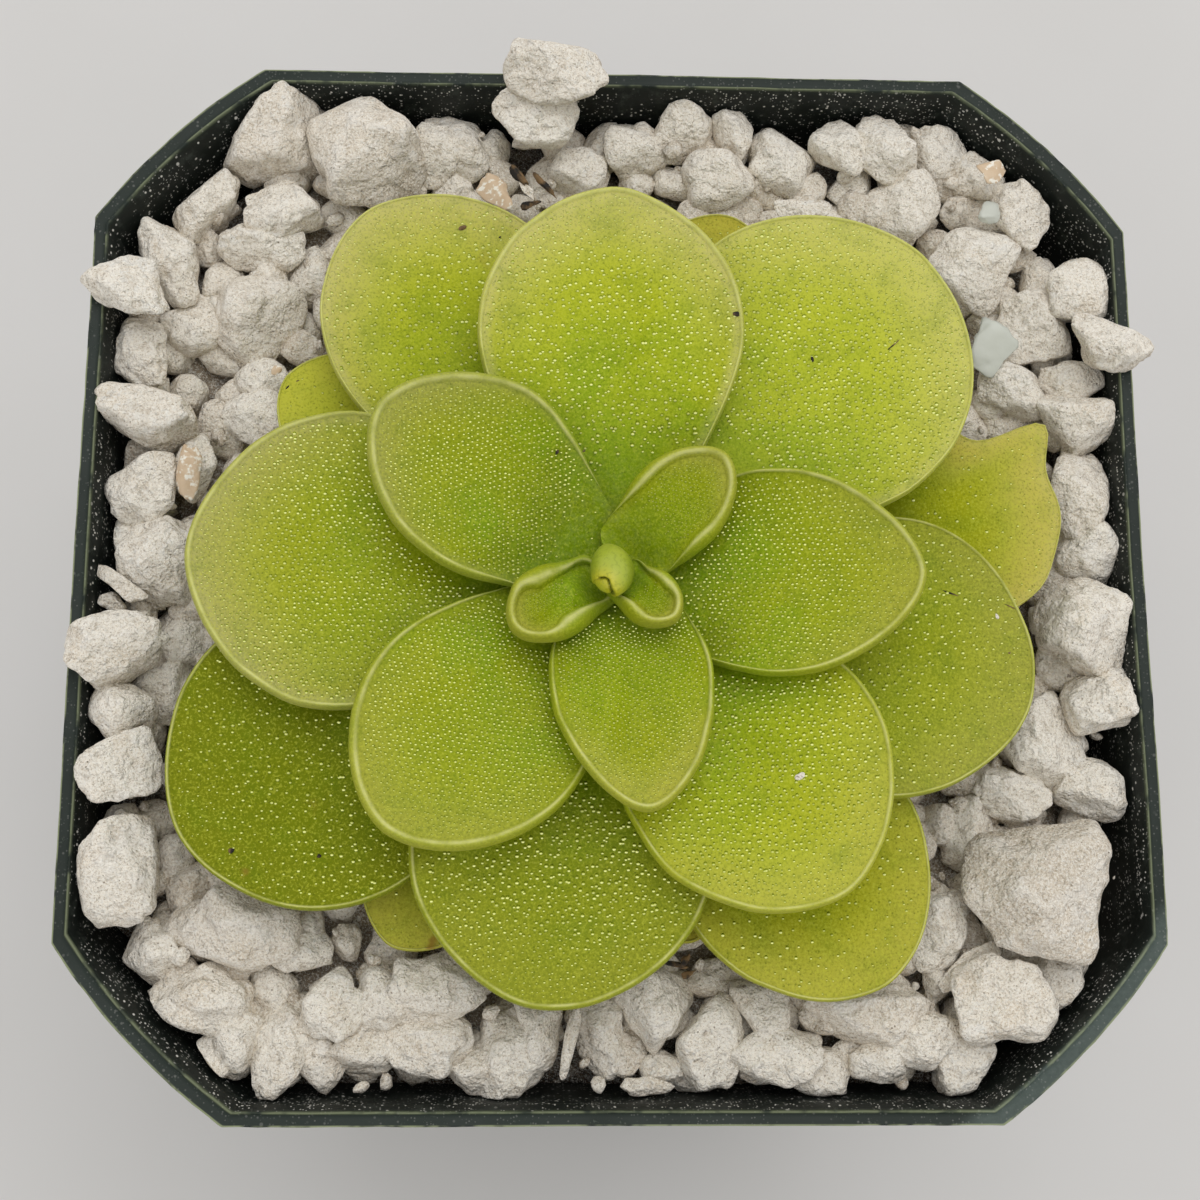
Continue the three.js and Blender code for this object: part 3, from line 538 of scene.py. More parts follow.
def soil_material():
    s = Shader("growing_mix")
    dark, middle, light = (0.02, 0.014, 0.009), (0.10, 0.07, 0.045), (0.42, 0.37, 0.3)
    colour = s.ramp(s.noise(1.2, 5, 0.65), (0.3, dark), (0.52, middle), (0.72, light))
    return s.finish(Base_Color=colour, Roughness=1.0, Normal=s.grain(0.7, 5, 0.6, 0.9))


def mottled(name, patches, dark, light, roughness, grain, **more):
    """A plain material of two colours mixed by noise, with a fine relief."""
    s = Shader(name)
    value = s.noise(*patches) if len(patches) == 2 else s.patches(*patches)
    colour = s.mix(value, dark, light)
    return s.finish(Base_Color=colour, Roughness=roughness, Normal=s.grain(*grain), **more)


def floor_material():
    pale, paler = (0.66, 0.65, 0.635), (0.70, 0.69, 0.68)
    return mottled("pale_floor", (30, 2), pale, paler, 0.8, (1.5, 1, 0.05, 0.3))


# ---- leaves
def stem_radius(z):
    t = np.clip((z - STEM_THICK_TO) / (STEM_TOP - STEM_THICK_TO), 0, 1)
    return STEM_THICK + (STEM_TIP - STEM_THICK) * t


for order, leaf in enumerate(LEAVES):
    leaf.order = order
    leaf.name = f"leaf_{order + 1:02d}"
    leaf.base = BASE_HEIGHT + BASE_STEP * (len(LEAVES) - 1 - order)
    leaf.start = stem_radius(leaf.base) + CLEARANCE
    leaf.length = leaf.reach - leaf.start
    half_base = min(BASE_HALF_WIDTH, 0.3 * leaf.width + 0.4)
    leaf.cut = math.asin((2 * half_base / leaf.width) ** (1 / ROUNDNESS)) / math.pi
    leaf.slopes = [math.tan(math.radians(angle)) for angle in leaf.rise]


def half_width(leaf, s):
    along = leaf.cut + (1 - leaf.cut) * np.clip(s, 0, 1) ** leaf.full
    return leaf.width / 2 * np.maximum(0, np.sin(np.pi * along)) ** ROUNDNESS


def drift(leaf, s):
    return leaf.bend * np.clip(s, 0, 1) ** 4


def to_leaf(leaf, x, y):
    """Plan points in a leaf's terms: s along it from 0 to 1, v across it in mm."""
    along, across = spin(x - CROWN[0], y - CROWN[1], -leaf.azimuth)
    s = (along - leaf.start) / leaf.length
    return s, across - drift(leaf, s)


def from_leaf(leaf, s, v):
    x, y = spin(leaf.start + s * leaf.length, v + drift(leaf, s), leaf.azimuth)
    return CROWN[0] + x, CROWN[1] + y


def free_underside(leaf, s, v):
    t = np.clip(s, 0, 1.1)
    rise, fall = leaf.slopes
    arch = leaf.length * (rise * t + (fall - rise) * t * t / 2)
    beyond = np.maximum(0, t - WIDEST) / (1 - WIDEST)
    across = v / (leaf.width / 2)
    return leaf.base + arch + leaf.cup * (beyond**2 + across**2)


def thickness(leaf, s):
    t = np.clip(s, 0, 1)
    rise, fall = leaf.slopes
    flesh = LEAF_THIN + (LEAF_THICK - LEAF_THIN) * np.sin(np.pi * np.minimum(t, 0.5))
    return flesh * np.hypot(1, rise + (fall - rise) * t)


def roll_height(leaf, s):
    """The visible roll: flatter than the lip on large leaves, full from the start on small ones."""
    return leaf.lip * (smoothstep(s, -0.25, 0) if leaf.plump == 2 else 0.7 * smoothstep(s, 0, 0.3))


def distance_outside(leaf, s, v):
    sideways = np.maximum(0, np.abs(v) - half_width(leaf, s))
    endways = np.maximum(0, np.maximum(s - 1, -s)) * leaf.length
    return np.hypot(sideways, endways)


def rest_on(own, support):
    near = np.maximum(0, DRAPE_SOFTNESS - np.abs(own - support)) / DRAPE_SOFTNESS
    return np.maximum(own, support) + near**2 * DRAPE_SOFTNESS / 4


def underside(leaf, x, y):
    """Height of a leaf's underside where it lies on the pile of older leaves."""
    pile = np.zeros_like(x)
    for lower in reversed(LEAVES[leaf.order + 1:]):
        s, v = to_leaf(lower, x, y)
        top = rest_on(free_underside(lower, s, v), pile + LEAF_GAP)
        top = top + thickness(lower, s) + lower.lip * smoothstep(s, 0, 0.35)
        pile = rest_on(pile, top - DRAPE_FALL * distance_outside(lower, s, v) ** 2)
    s, v = to_leaf(leaf, x, y)
    return rest_on(free_underside(leaf, s, v), pile + LEAF_GAP)


def relief(leaf, x, y, s, v):
    """Small waves of the blade's top and the shallow valley of its midrib."""
    size = min(1, leaf.width / 18)
    plan = columns(x, y, 3.7 * leaf.order)
    waves = 0.10 * noise(plan, 6.5, 11) + 0.035 * noise(plan, 2.2, 12)
    valley = 0.22 * np.exp(-((v / (1.6 * size)) ** 2)) * smoothstep(s, 1, 0.25)
    return size * (waves - valley) * smoothstep(s, 0, 0.2)


def blade_top(leaf, x, y, s, v):
    return underside(leaf, x, y) + thickness(leaf, s) + relief(leaf, x, y, s, v)


def outline(leaf):
    """A blade's outline from the stem round and back, ahead of and beside its middle in mm."""
    k = np.arange(-OUTLINE_STEPS, OUTLINE_STEPS)
    s = (1 + np.cos(k * np.pi / OUTLINE_STEPS)) / 2
    across = np.sign(k) * half_width(leaf, s) * (1 - (1 - np.minimum(1, s / 0.07)) ** 2) ** 0.4
    ahead = (s - WIDEST) * leaf.length - BASE_EXTRA * smoothstep(s, 0.2, 0)
    angle = np.degrees(np.arctan2(across, ahead))
    plan = columns(np.cos(np.radians(angle)), np.sin(np.radians(angle)), leaf.order)
    stretch = 1 + 0.012 * noise(plan, 0.45, 21, 2) * smoothstep(s, 0.1, 0.4)
    for middle, share, spread in leaf.bulges:
        apart = (angle - middle + 180) % 360 - 180
        stretch += share * np.exp(-((apart / spread) ** 2))
    return ahead * stretch, across * stretch


def margin_width(leaf, s):
    """Width of the rolled margin: it fades out at the stem."""
    side, tip = leaf.roll
    fade = smoothstep(s, -0.25, -0.02) if leaf.plump == 2 else smoothstep(s, 0.02, 0.34)
    return (side + (tip - side) * smoothstep(s, 0.35, 0.85)) * fade


def margin_top(leaf, u):
    """Height of the roll as a share of the lip, and the blade's own share of thickness."""
    rounded = 1 - (1 - np.minimum(1, u / CREST)) ** 2
    inward = np.clip((u - CREST) / (1 - CREST), 0, 1)
    slope = 0.5 + 0.5 * np.cos(np.pi * inward)
    falling = slope + (leaf.plump - 1) * (np.sqrt(1 - inward**2) - slope)
    return np.where(u < CREST, rounded**0.7, falling), 0.35 + 0.65 * np.sqrt(rounded)


def blade_rings():
    """Rings of a blade from the middle of its underside to the middle of its top.

    Each is (share of the way to the roll's inner edge, place across the roll or None, on top).
    """
    rings = [(share, None, False) for share in (0.25, 0.5, 0.75, 0.9, 1.0)]
    rings += [(1, u, False) for u in (0.8, 0.5, 0.3, 0.15, 0.05)]
    rings += [(1, u, True) for u in (1 - np.cos(np.linspace(0, np.pi, ROLL_RINGS))) / 2]
    inwards = np.linspace(1, 0, TOP_RINGS, endpoint=False)[1:]
    return rings + [(share, None, True) for share in inwards]


def add_leaf(leaf, material, slot):
    ahead, across = outline(leaf)
    radius = np.hypot(ahead, across)
    width = np.minimum(margin_width(leaf, WIDEST + ahead / leaf.length), 0.7 * radius)
    strong = smoothstep(width, 0.05, 0.35)
    points, fields = [], {"along": [], "margin": [], "crest": [], "outward": []}
    for share, u, on_top in blade_rings():
        place = 1 if u is None else u
        scale = share * (1 - width * place / radius)
        s = WIDEST + ahead * scale / leaf.length
        v = across * scale
        x, y = from_leaf(leaf, s, v)
        z = underside(leaf, x, y)
        body = thickness(leaf, s)
        if on_top:
            roll, flesh = margin_top(leaf, np.full_like(s, place))
            z = z + body * flesh + roll * roll_height(leaf, s) + relief(leaf, x, y, s, v) * flesh
        elif u is not None:
            z = z + 0.45 * body * (1 - math.sqrt(1 - (1 - min(1, u / CREST)) ** 2))
        z = z - BASE_SINK * smoothstep(s, BASE_MERGED, 0.02) * smoothstep(share, 0.15, 1)
        points.append(columns(x, y, z))
        fields["along"].append(s)
        fields["margin"].append(strong * (1 - smoothstep(place, 0.6, 1)))
        # This field places a painted highlight line just inside the roll's crest.
        ridge = math.exp(-(((place - CREST - 0.12) / 0.15) ** 2))
        fields["crest"].append(strong * on_top * ridge)
        fields["outward"].append(np.full_like(s, share**1.5))
    hubs = [points[0].mean(axis=0), points[-1].mean(axis=0)]
    for name, values in fields.items():
        fields[name] = np.concatenate(values + [[values[0].mean(), values[-1].mean()]])
    for name in ("age", "tone", "pale"):
        fields[name] = np.full(len(fields["along"]), getattr(leaf, name))
    faces = shell_faces(len(points), len(ahead))
    points = np.concatenate(points + [hubs])
    settle(add_mesh(leaf.name + "_blade", points, faces, material, fields), slot, leaf.name)


# ---- droplets
def inset_from_outline(leaf, x, y):
    """How far plan points lie inside a leaf's outline, towards its middle; negative outside."""
    ahead, across = outline(leaf)
    angle = np.arctan2(across, ahead)
    turn = np.argsort(angle)
    s, v = to_leaf(leaf, x, y)
    along = (s - WIDEST) * leaf.length
    radii = np.hypot(ahead, across)[turn]
    edge = np.interp(np.arctan2(v, along), angle[turn], radii, period=2 * np.pi)
    return edge - np.hypot(v, along)


def droplet_template(sides=6):
    """A low bead: points and triangles."""
    turn = np.arange(sides) * 2 * np.pi / sides
    points = [(math.cos(a), math.sin(a), 0) for a in turn] + [(0, 0, -0.4), (0, 0, 0.75)]
    return np.array(points), np.array(end_fans(1, sides))


def droplet_places(leaf, draw):
    """Where a leaf's glands sit in sight, with the radius of each droplet."""
    spacing = leaf.dew
    row_step = 0.866 * spacing
    shake = spacing * (0.09 + 0.14 * smoothstep(spacing, 0.38, 0.6))
    rows = np.arange(-math.ceil(leaf.width / row_step), math.ceil(leaf.width / row_step) + 1)
    steps = np.arange(0, math.ceil(leaf.length / spacing) + 1)
    row, step = pairs(rows, steps)
    s = ((step + (row % 2) / 2) * spacing + draw.normal(0, shake, row.size)) / leaf.length
    v = row * row_step + draw.normal(0, shake, row.size)
    v = v * (0.82 + 0.25 * s)  # the rows of glands bend outwards a little with the blade
    x, y = from_leaf(leaf, s, v)
    keep = inset_from_outline(leaf, x, y) > margin_width(leaf, s) + 0.2
    keep &= s > leaf.bare + draw.normal(0, 0.04, len(s))
    keep &= draw.random(len(s)) > 0.05
    for upper in LEAVES[:leaf.order]:
        keep &= inset_from_outline(upper, x, y) < 0.1
    x, y, s, v = x[keep], y[keep], s[keep], v[keep]
    small_at_tip = 1 - 0.45 * smoothstep(s, 0.75, 0.98)
    radius = np.clip(0.25 * spacing, 0.055, 0.14) * draw.uniform(0.7, 1.2, len(x)) * small_at_tip
    return columns(x, y, blade_top(leaf, x, y, s, v)), radius


def glints(leaf, centres, draw):
    """How strongly each droplet's painted highlight shows: in drifts, and hardly on the small young
    leaves.
    """
    drifts = smoothstep(noise(centres, 4.5, 51 + leaf.order, 2), -0.55, 0.45)
    usual = 0.3 if leaf.order < 3 else 1.0
    return usual * np.clip((0.6 + 0.5 * drifts) * draw.uniform(0.6, 1.3, len(centres)), 0, 1)


def add_droplets(leaf, material, slot, draw):
    centres, radii = droplet_places(leaf, draw)
    if not len(centres):
        return
    template, faces = droplet_template()
    points = centres[:, None, :] + radii[:, None, None] * template[None]
    triangles = faces[None] + len(template) * np.arange(len(centres))[:, None, None]
    fields = {"glint": np.repeat(glints(leaf, centres, draw), len(template))}
    points, triangles = points.reshape(-1, 3), triangles.reshape(-1, 3)
    settle(add_mesh(leaf.name + "_droplets", points, triangles, material, fields), slot)


# ---- bud
BUD_FOOT = np.array([-1.12, -0.1, 94.9])
BUD_LENGTH, BUD_RADIUS, BUD_LEAN, BUD_SWING = 6.3, 1.62, 44, 8
BUD_SIDES, BUD_LEVELS = 120, 90
# The seam of the rolled bud in plan, from its inner end round the hook to the underside.
SEAM = np.array([
    (-1.7, -3.6), (-1.4, -3.62), (-1.12, -3.8), (-1.02, -4.15), (-0.9, -4.5), (-0.55, -4.85),
])


def from_seam(points):
    """Distance in plan from the seam, positive on the side of its outer lap."""
    best = np.full(len(points), 1e9)
    side = np.ones(len(points))
    for a, b in itertools.pairwise(SEAM):
        along = np.clip(((points - a) @ (b - a)) / ((b - a) @ (b - a)), 0, 1)
        gap = points - (a + along[:, None] * (b - a))
        distance = np.hypot(gap[:, 0], gap[:, 1])
        cross = (b - a)[0] * gap[:, 1] - (b - a)[1] * gap[:, 0]
        side = np.where(distance < best, np.sign(cross), side)
        best = np.minimum(best, distance)
    return best * side


def add_bud(material):
    """The youngest leaf, still rolled up: an egg whose outer lap hooks over a seam, painted dark as
    the shade in it.
    """
    turn = 2 * np.pi * np.arange(BUD_SIDES) / BUD_SIDES
    rings = []
    for t in np.linspace(0.01, 0.995, BUD_LEVELS):
        radius = BUD_RADIUS * math.sin(math.pi * t**1.35) ** 0.62
        rings.append(columns(radius * np.cos(turn), radius * np.sin(turn), BUD_LENGTH * t))
    x, y, z = np.concatenate(rings + [[[0, 0, 0], [0, 0, BUD_LENGTH]]]).T
    y, z = spin(y, z, BUD_LEAN)
    x, y = spin(x, y, BUD_SWING)
    points = columns(x, y, z) + BUD_FOOT
    middle = points.mean(axis=0)
    outward = points - middle
    up = smoothstep(outward[:, 2], -0.6, 0.3)
    apart = from_seam(points[:, :2])
    near = np.exp(-((apart / 0.10) ** 2))
    lap = np.where(apart > 0, 0.16, -0.10) * np.exp(-((apart / 0.5) ** 2))
    fields = {"seam": up * near, "yellow": up * np.exp(-((apart / 0.7) ** 2))}
    shift = up * (lap - 0.34 * near) / np.linalg.norm(outward, axis=1)
    points = points + outward * shift[:, None]
    fields["low"] = smoothstep(np.abs(points[:, 0] - middle[0]), 0.7, 1.6)
    faces = shell_faces(BUD_LEVELS, BUD_SIDES)
    piece = add_mesh("crown_bud_rolled", points, faces, material, fields)
    settle(piece, "young_leaf", "crown_bud")


# ---- pumice
@functools.cache
def icosphere(level):
    """Unit directions and triangles of an evenly divided ball."""
    ball = bmesh.new()
    bmesh.ops.create_icosphere(ball, subdivisions=level, radius=1)
    points = np.array([v.co[:] for v in ball.verts])
    faces = np.array([[v.index for v in f.verts] for f in ball.faces])
    ball.free()
    return points, faces


def make_stone(level, centre, size, turn, draw, facets=12, tilt=0):
    """A chipped pebble of flats with worn edges, lumps and a rough skin.

    Gives points, faces, and how sharp and how low each place is.
    """
    directions, faces = icosphere(level)
    flats = draw.normal(size=(facets, 3))
    flats /= np.linalg.norm(flats, axis=1)[:, None]
    facing = np.maximum(directions @ flats.T, 0) / draw.uniform(0.74, 1.0, facets)
    large = float(smoothstep(max(size), 7.5, 10.5))
    wear = draw.uniform(7, 14) + 6 * large
    radius = np.minimum(1 / (1e-3 + (facing**wear).sum(axis=1)) ** (1 / wear), 1.35)
    best = np.sort(facing, axis=1)
    ridge = smoothstep(best[:, -2] / best[:, -1], 0.88, 0.99)
    seed = int(draw.integers(1, 10000))
    spot = directions * radius[:, None] + draw.uniform(-50, 50, 3)
    lumps = (0.07 + 0.04 * large) * noise(spot, 0.9, seed)
    lumps += (0.055 + 0.02 * large) * noise(spot, 0.4, seed, 2)
    shape = directions * (radius * (1 + lumps))[:, None]
    shape -= (shape.max(0) + shape.min(0)) / 2
    shape /= (shape.max(0) - shape.min(0)) / 2
    shape = shape * np.array(size) / 2
    fine = noise(shape + seed % 97, 1.0, seed, 3)
    pits = smoothstep(noise(shape + seed % 89, 1.7, seed + 3), 0.35, 0.75)
    shape *= (1 + (0.23 * fine - 0.5 * pits) / np.cbrt(np.prod(size)))[:, None]
    ridge *= smoothstep(fine, -0.6, 0.5)
    x, y, z = shape.T
    # The lower part of each stone, which add_stones paints darker as shade.
    low = smoothstep(z / size[2], 0.2, -0.2)
    x, z = spin(x, z, tilt)
    x, y = spin(x, y, turn)
    return columns(x, y, z) + np.array(centre), faces, ridge, low


def wall_half(z):
    """Half width of the pot's inside at a height near the top."""
    return np.interp(z, [1, 64, 66.5, 86], [30, 37.6, 39, 41.6])


def pressed_inside(points):
    """Points below the rim moved in to the pot's walls and chamfers where they lie beyond them."""
    x, y, z = points.T
    half = wall_half(z) - 0.05
    inner_x, inner_y = np.clip(x, -half, half), np.clip(y, -half, half)
    beyond = np.maximum(0, np.abs(inner_x) + np.abs(inner_y) - CHAMFER_REACH * half) / 2
    x = np.where(z < POT_HEIGHT, inner_x - np.sign(inner_x) * beyond, x)
    y = np.where(z < POT_HEIGHT, inner_y - np.sign(inner_y) * beyond, y)
    return columns(x, y, z)


def roof_over(x, y, reach):
    """Lowest leaf underside over a stone's plan."""
    turn = np.arange(8) * np.pi / 4
    px = np.append(x + reach * np.cos(turn), x)
    py = np.append(y + reach * np.sin(turn), y)
    roofs = []
    for leaf in LEAVES:
        over = distance_outside(leaf, *to_leaf(leaf, px, py)) < 1
        if over.any():
            roofs += list(underside(leaf, px, py)[over])
    return min(roofs, default=math.inf)


def from_crown(x, y):
    return np.hypot(x - CROWN[0], y - CROWN[1])


def mound(x, y, height):
    """The stones pile up a little towards the plant."""
    return height * smoothstep(from_crown(x, y), 32, 16)


def beyond_chamfer(x, y, room):
    return abs(x) + abs(y) > CHAMFER_REACH * wall_half(BED_TOP) - room


def top_stones(draw):
    stones, tints = [], []
    for x, y, length, width, *rest in STONES:
        turn, lift = (*rest, 0, 0)[:2]
        near_wall = min(1, max(abs(x), abs(y)) / wall_half(BED_TOP))
        seat = SEAT_MIDDLE + (SEAT_NEAR_WALL - SEAT_MIDDLE) * near_wall + lift
        tall = STONE_FLATNESS * (length + width) / 2
        top = min(seat + tall + draw.uniform(-0.7, 0.5), roof_over(x, y, 0.45 * width) - 0.6)
        size = (STONE_ROOM * length, STONE_ROOM * width, 2 * tall)
        level = 5 if length > 5.9 else 4
        facets = 12 if length < 9 else 22
        turn += draw.uniform(-8, 8)
        stones.append(make_stone(level, (x, y, top - tall), size, turn, draw, facets))
        tints.append(draw.uniform(0.84, 1.06) - 0.05 * max(0, length - 6.5) ** 1.4)
    return stones, tints


def filler_stones(draw):
    """Smaller stones that fill the bed between and under those, in a jittered hexagonal layout."""
    stones, tints = [], []
    row_pitch = FILL_PITCH * 0.866
    half = wall_half(BED_TOP)
    count = math.ceil(half / row_pitch)
    for row, step in itertools.product(range(-count, count + 1), repeat=2):
        x = (step + (row % 2) / 2) * FILL_PITCH + draw.uniform(-0.8, 0.8)
        y = row * row_pitch + draw.uniform(-0.8, 0.8)
        length = draw.uniform(3.2, 5.4)
        width = length * draw.uniform(0.7, 0.95)
        if max(abs(x), abs(y)) > half - 0.38 * length or beyond_chamfer(x, y, 0.5 * length):
            continue
        if from_crown(x, y) < FILL_CLEAR:
            continue
        tall = STONE_FLATNESS * (length + width) / 2
        top = FILL_TOP + mound(x, y, 2.6) + draw.uniform(-0.6, 0.6) + tall * 0.4
        centre = (x, y, min(top, roof_over(x, y, 0.4 * length) - 0.5) - tall)
        size = (length, width, 2 * tall)
        stones.append(make_stone(3, centre, size, draw.uniform(0, 180), draw))
        tints.append(draw.uniform(0.5, 1.0))
    return stones, tints


def grit(draw):
    """Crumbs and dust of stone that fell between the others."""
    parts, tints = [], []
    half = wall_half(BED_TOP) - 0.5
    while len(parts) < GRIT_COUNT:
        x, y = draw.uniform(-half, half, 2)
        if beyond_chamfer(x, y, 1 + 0.5 * CHAMFER_REACH) or from_crown(x, y) < GRIT_CLEAR:
            continue
        length = draw.uniform(0.5, 1.9)
        z = FILL_TOP + mound(x, y, 2.2) + draw.uniform(-0.6, 1.2)
        size = (length, length * draw.uniform(0.6, 1), length * draw.uniform(0.5, 0.9))
        centre = (x, y, min(z, roof_over(x, y, 0.5) - 0.6))
        parts.append(make_stone(2, centre, size, draw.uniform(0, 180), draw))
        tints.append(draw.uniform(0.1, 1.0))
    return parts, tints


def add_stones(name, stones, tints, material, *nodes):
    points, faces, counts = joined(stones)
    # Each stone's tint darkens towards its foot: painted shade where the stones touch.
    low = np.concatenate([stone[3] for stone in stones])
    fields = {
        "tint": np.maximum(0.2, np.repeat(tints, counts) - SHADED_FOOT * low),
        "ridge": np.concatenate([stone[2] for stone in stones]),
    }
    settle(add_mesh(name, pressed_inside(points), faces, material, fields), "pumice", *nodes)


# Flakes among the stones: x, y, z of the middle, length, width, thickness, turn, tilt.
GLASSY = [(31.6, 19.4, 84.9, 4.6, 4, 0.7, 70, 6), (31.8, 31.4, 85.3, 2.4, 2, 0.7, 20, -12)]
SHELLS = [
    (-9.8, 32.5, 85.3, 4.2, 2.6, 0.7, -40, 12), (-34.4, 7.8, 85.6, 4.6, 2, 0.9, 88, 4),
    (-27.6, 16.5, 85.6, 1.2, 0.9, 0.5, 20, 10), (31.7, 34.2, 87, 2.6, 2.2, 0.8, 30, -10),
]
PALE_FLAKES = [
    (-39.6, -1.2, 85, 5.2, 1.4, 0.6, -38, 8), (-40.2, -2.6, 83.9, 2.2, 1.8, 1.4, 0, 0),
    (-38.2, -4.3, 84, 2.6, 2, 1.6, 30, 0), (-3.5, -37.2, 84, 6.4, 1.1, 2.6, 80, 12),
    (27.6, -31.4, 83.6, 6.6, 2.4, 0.5, 33, 4), (16, 31.4, 85, 5, 2.2, 0.8, 0, 6),
    (-7.6, 33, 85.6, 3.6, 0.9, 0.6, -60, 14), (2.6, -40.2, 83, 4.4, 1.6, 1, 4, 0),
]
LITTER = [
    (-8, 33.8, 85.6, 3.4, 0.8, 0.6, -55, 10), (-5.8, 32.7, 86.2, 3.2, 0.55, 0.5, -48, -8),
    (-7, 31.4, 85.4, 1.6, 0.8, 0.5, 10, 0), (4.4, -31, 85.2, 2.4, 0.5, 0.4, -12, 5),
    (6, -31.6, 85, 1.8, 0.5, 0.4, 25, 0), (5.4, -30.7, 85.3, 1.4, 0.6, 0.4, 60, 0),
]
FLAKE_TINT = 0.8

# Specks and fibres lying on the leaves: x, y, length, width, turn.
SPECKS = [
    (-2.92, 6.67, 0.65, 0.42, 20), (-4.82, 6.65, 0.4, 0.22, 60), (8.86, 17.65, 0.4, 0.25, 0),
    (21.37, 16.3, 1.3, 0.12, 40), (15.06, 15.21, 0.45, 0.2, 110), (-12.39, 26.21, 0.45, 0.3, 0),
    (-9.42, 25.41, 0.4, 0.3, 0), (26.02, -3.1, 1.1, 0.12, 160), (30.44, -4.09, 1.5, 0.14, -25),
    (-28.87, -22.79, 0.3, 0.25, 0), (-22.3, -23.18, 0.3, 0.25, 0),
    (-26.24, 14.13, 0.35, 0.12, 50), (-25.46, 14.64, 0.3, 0.12, 20), (27.5, 1.7, 0.35, 0.25, 0),
    (30.1, -7.6, 0.25, 0.2, 0),
]
CRUMBS = [(13.1, -17.58, 0.8, 0.55, 30), (29.24, -4.74, 0.55, 0.4, 100)]


def leaf_top(x, y):
    """Height of the youngest leaf's top at one place in plan."""
    x, y = np.array([x]), np.array([y])
    for leaf in LEAVES:
        inset = inset_from_outline(leaf, x, y)
        if inset[0] > 0.1:
            s, v = to_leaf(leaf, x, y)
            width = margin_width(leaf, s)
            on_roll = smoothstep(inset, width, 0.5 * width)
            return float((blade_top(leaf, x, y, s, v) + on_roll * roll_height(leaf, s))[0])
    return BED_TOP


def add_specks(name, rows, draw, material, slot):
    """Bits of dirt that lie on the leaves, sunk in a little."""
    parts = []
    for x, y, length, width, turn in rows:
        thick = min(0.2, 0.6 * width)
        centre = (x, y, leaf_top(x, y) + 0.1 * thick)
        parts.append(make_stone(3, centre, (length, width, thick), turn, draw, 8))
    points, faces, _ = joined(parts)
    fields = {"tint": np.ones(len(points)), "ridge": np.zeros(len(points))}
    settle(add_mesh(name, points, faces, material, fields), slot)


def add_flakes(name, rows, draw, material):
    """Thin flat pieces with broken edges."""
    parts = [make_stone(4, row[:3], row[3:6], row[6], draw, 8, row[7]) for row in rows]
    add_stones(name, parts, [FLAKE_TINT] * len(parts), material)


def add_bed(material):
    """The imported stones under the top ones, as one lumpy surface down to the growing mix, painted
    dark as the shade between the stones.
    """
    steps = 100
    low_half, high_half = wall_half(73) - 0.4, wall_half(BED_TOP) - 0.4
    line = np.linspace(-1, 1, steps)
    u, v = pairs(line, line)
    # The square grid is squeezed so that its corners follow the pot's chamfers.
    reach = np.maximum(np.maximum(np.abs(u), np.abs(v)), 1e-6)
    limit = np.minimum(1, CHAMFER_REACH * reach / np.maximum(np.abs(u) + np.abs(v), 1e-6))
    u, v = u * limit, v * limit
    x, y = u * high_half, v * high_half
    lumps = 1.1 * noise(columns(x, y, 0), 3.2, 31, 2)
    sunk = smoothstep(reach, 0.86, 1)
    z = BED_TOP - 0.2 + lumps + mound(x, y, 2.2) - 3.5 * sunk
    points = np.concatenate([columns(x, y, z), columns(u * low_half, v * low_half, BED_FOOT)])
    k = np.arange(steps - 1)
    i, j = pairs(k, k)
    a = i * steps + j
    quads = columns(a, a + steps, a + steps + 1, a + 1).astype(int)
    end = steps - 1
    rim = np.concatenate([k * steps, end * steps + k, (end - k) * steps + end, end - k])
    ahead = np.roll(rim, -1)
    walls = columns(ahead, rim, rim + len(u), ahead + len(u)).astype(int)
    faces = np.concatenate([quads, quads[:, ::-1] + len(u), walls])
    # Painted shade: the low tint paints the bed dark like the shade between the stones, darkest
    # where it sinks at the walls.
    fields = {"tint": np.tile(0.1 * (1 - sunk), 2), "ridge": np.zeros(len(points))}
    settle(add_mesh("pumice_bed", points, faces, material, fields), "pumice")


# ---- pot
def pot_outline():
    """The pot's cross-section for a half width of 1: flats, and chamfers that bulge a little."""
    leg = CHAMFER_SHARE
    middle = 1 - leg / 2 + CORNER_BULGE_SHARE
    along = -np.cos(np.pi * np.arange(SIDE_POINTS) / SIDE_POINTS)
    t = (1 - np.cos(np.pi * np.arange(CHAMFER_POINTS) / CHAMFER_POINTS))[:, None] / 2
    start, peak, end = np.array([1, 1 - leg]), np.array([middle, middle]), np.array([1 - leg, 1])
    control = 2 * peak - (start + end) / 2
    chamfer = (1 - t) ** 2 * start + 2 * t * (1 - t) * control + t**2 * end
    x, y = np.concatenate([columns(1, (1 - leg) * along), chamfer]).T
    loop = np.concatenate([columns(x, y), columns(-y, x), columns(-x, -y), columns(y, -x)])
    return 0.5 * loop + 0.25 * (np.roll(loop, 1, axis=0) + np.roll(loop, -1, axis=0))


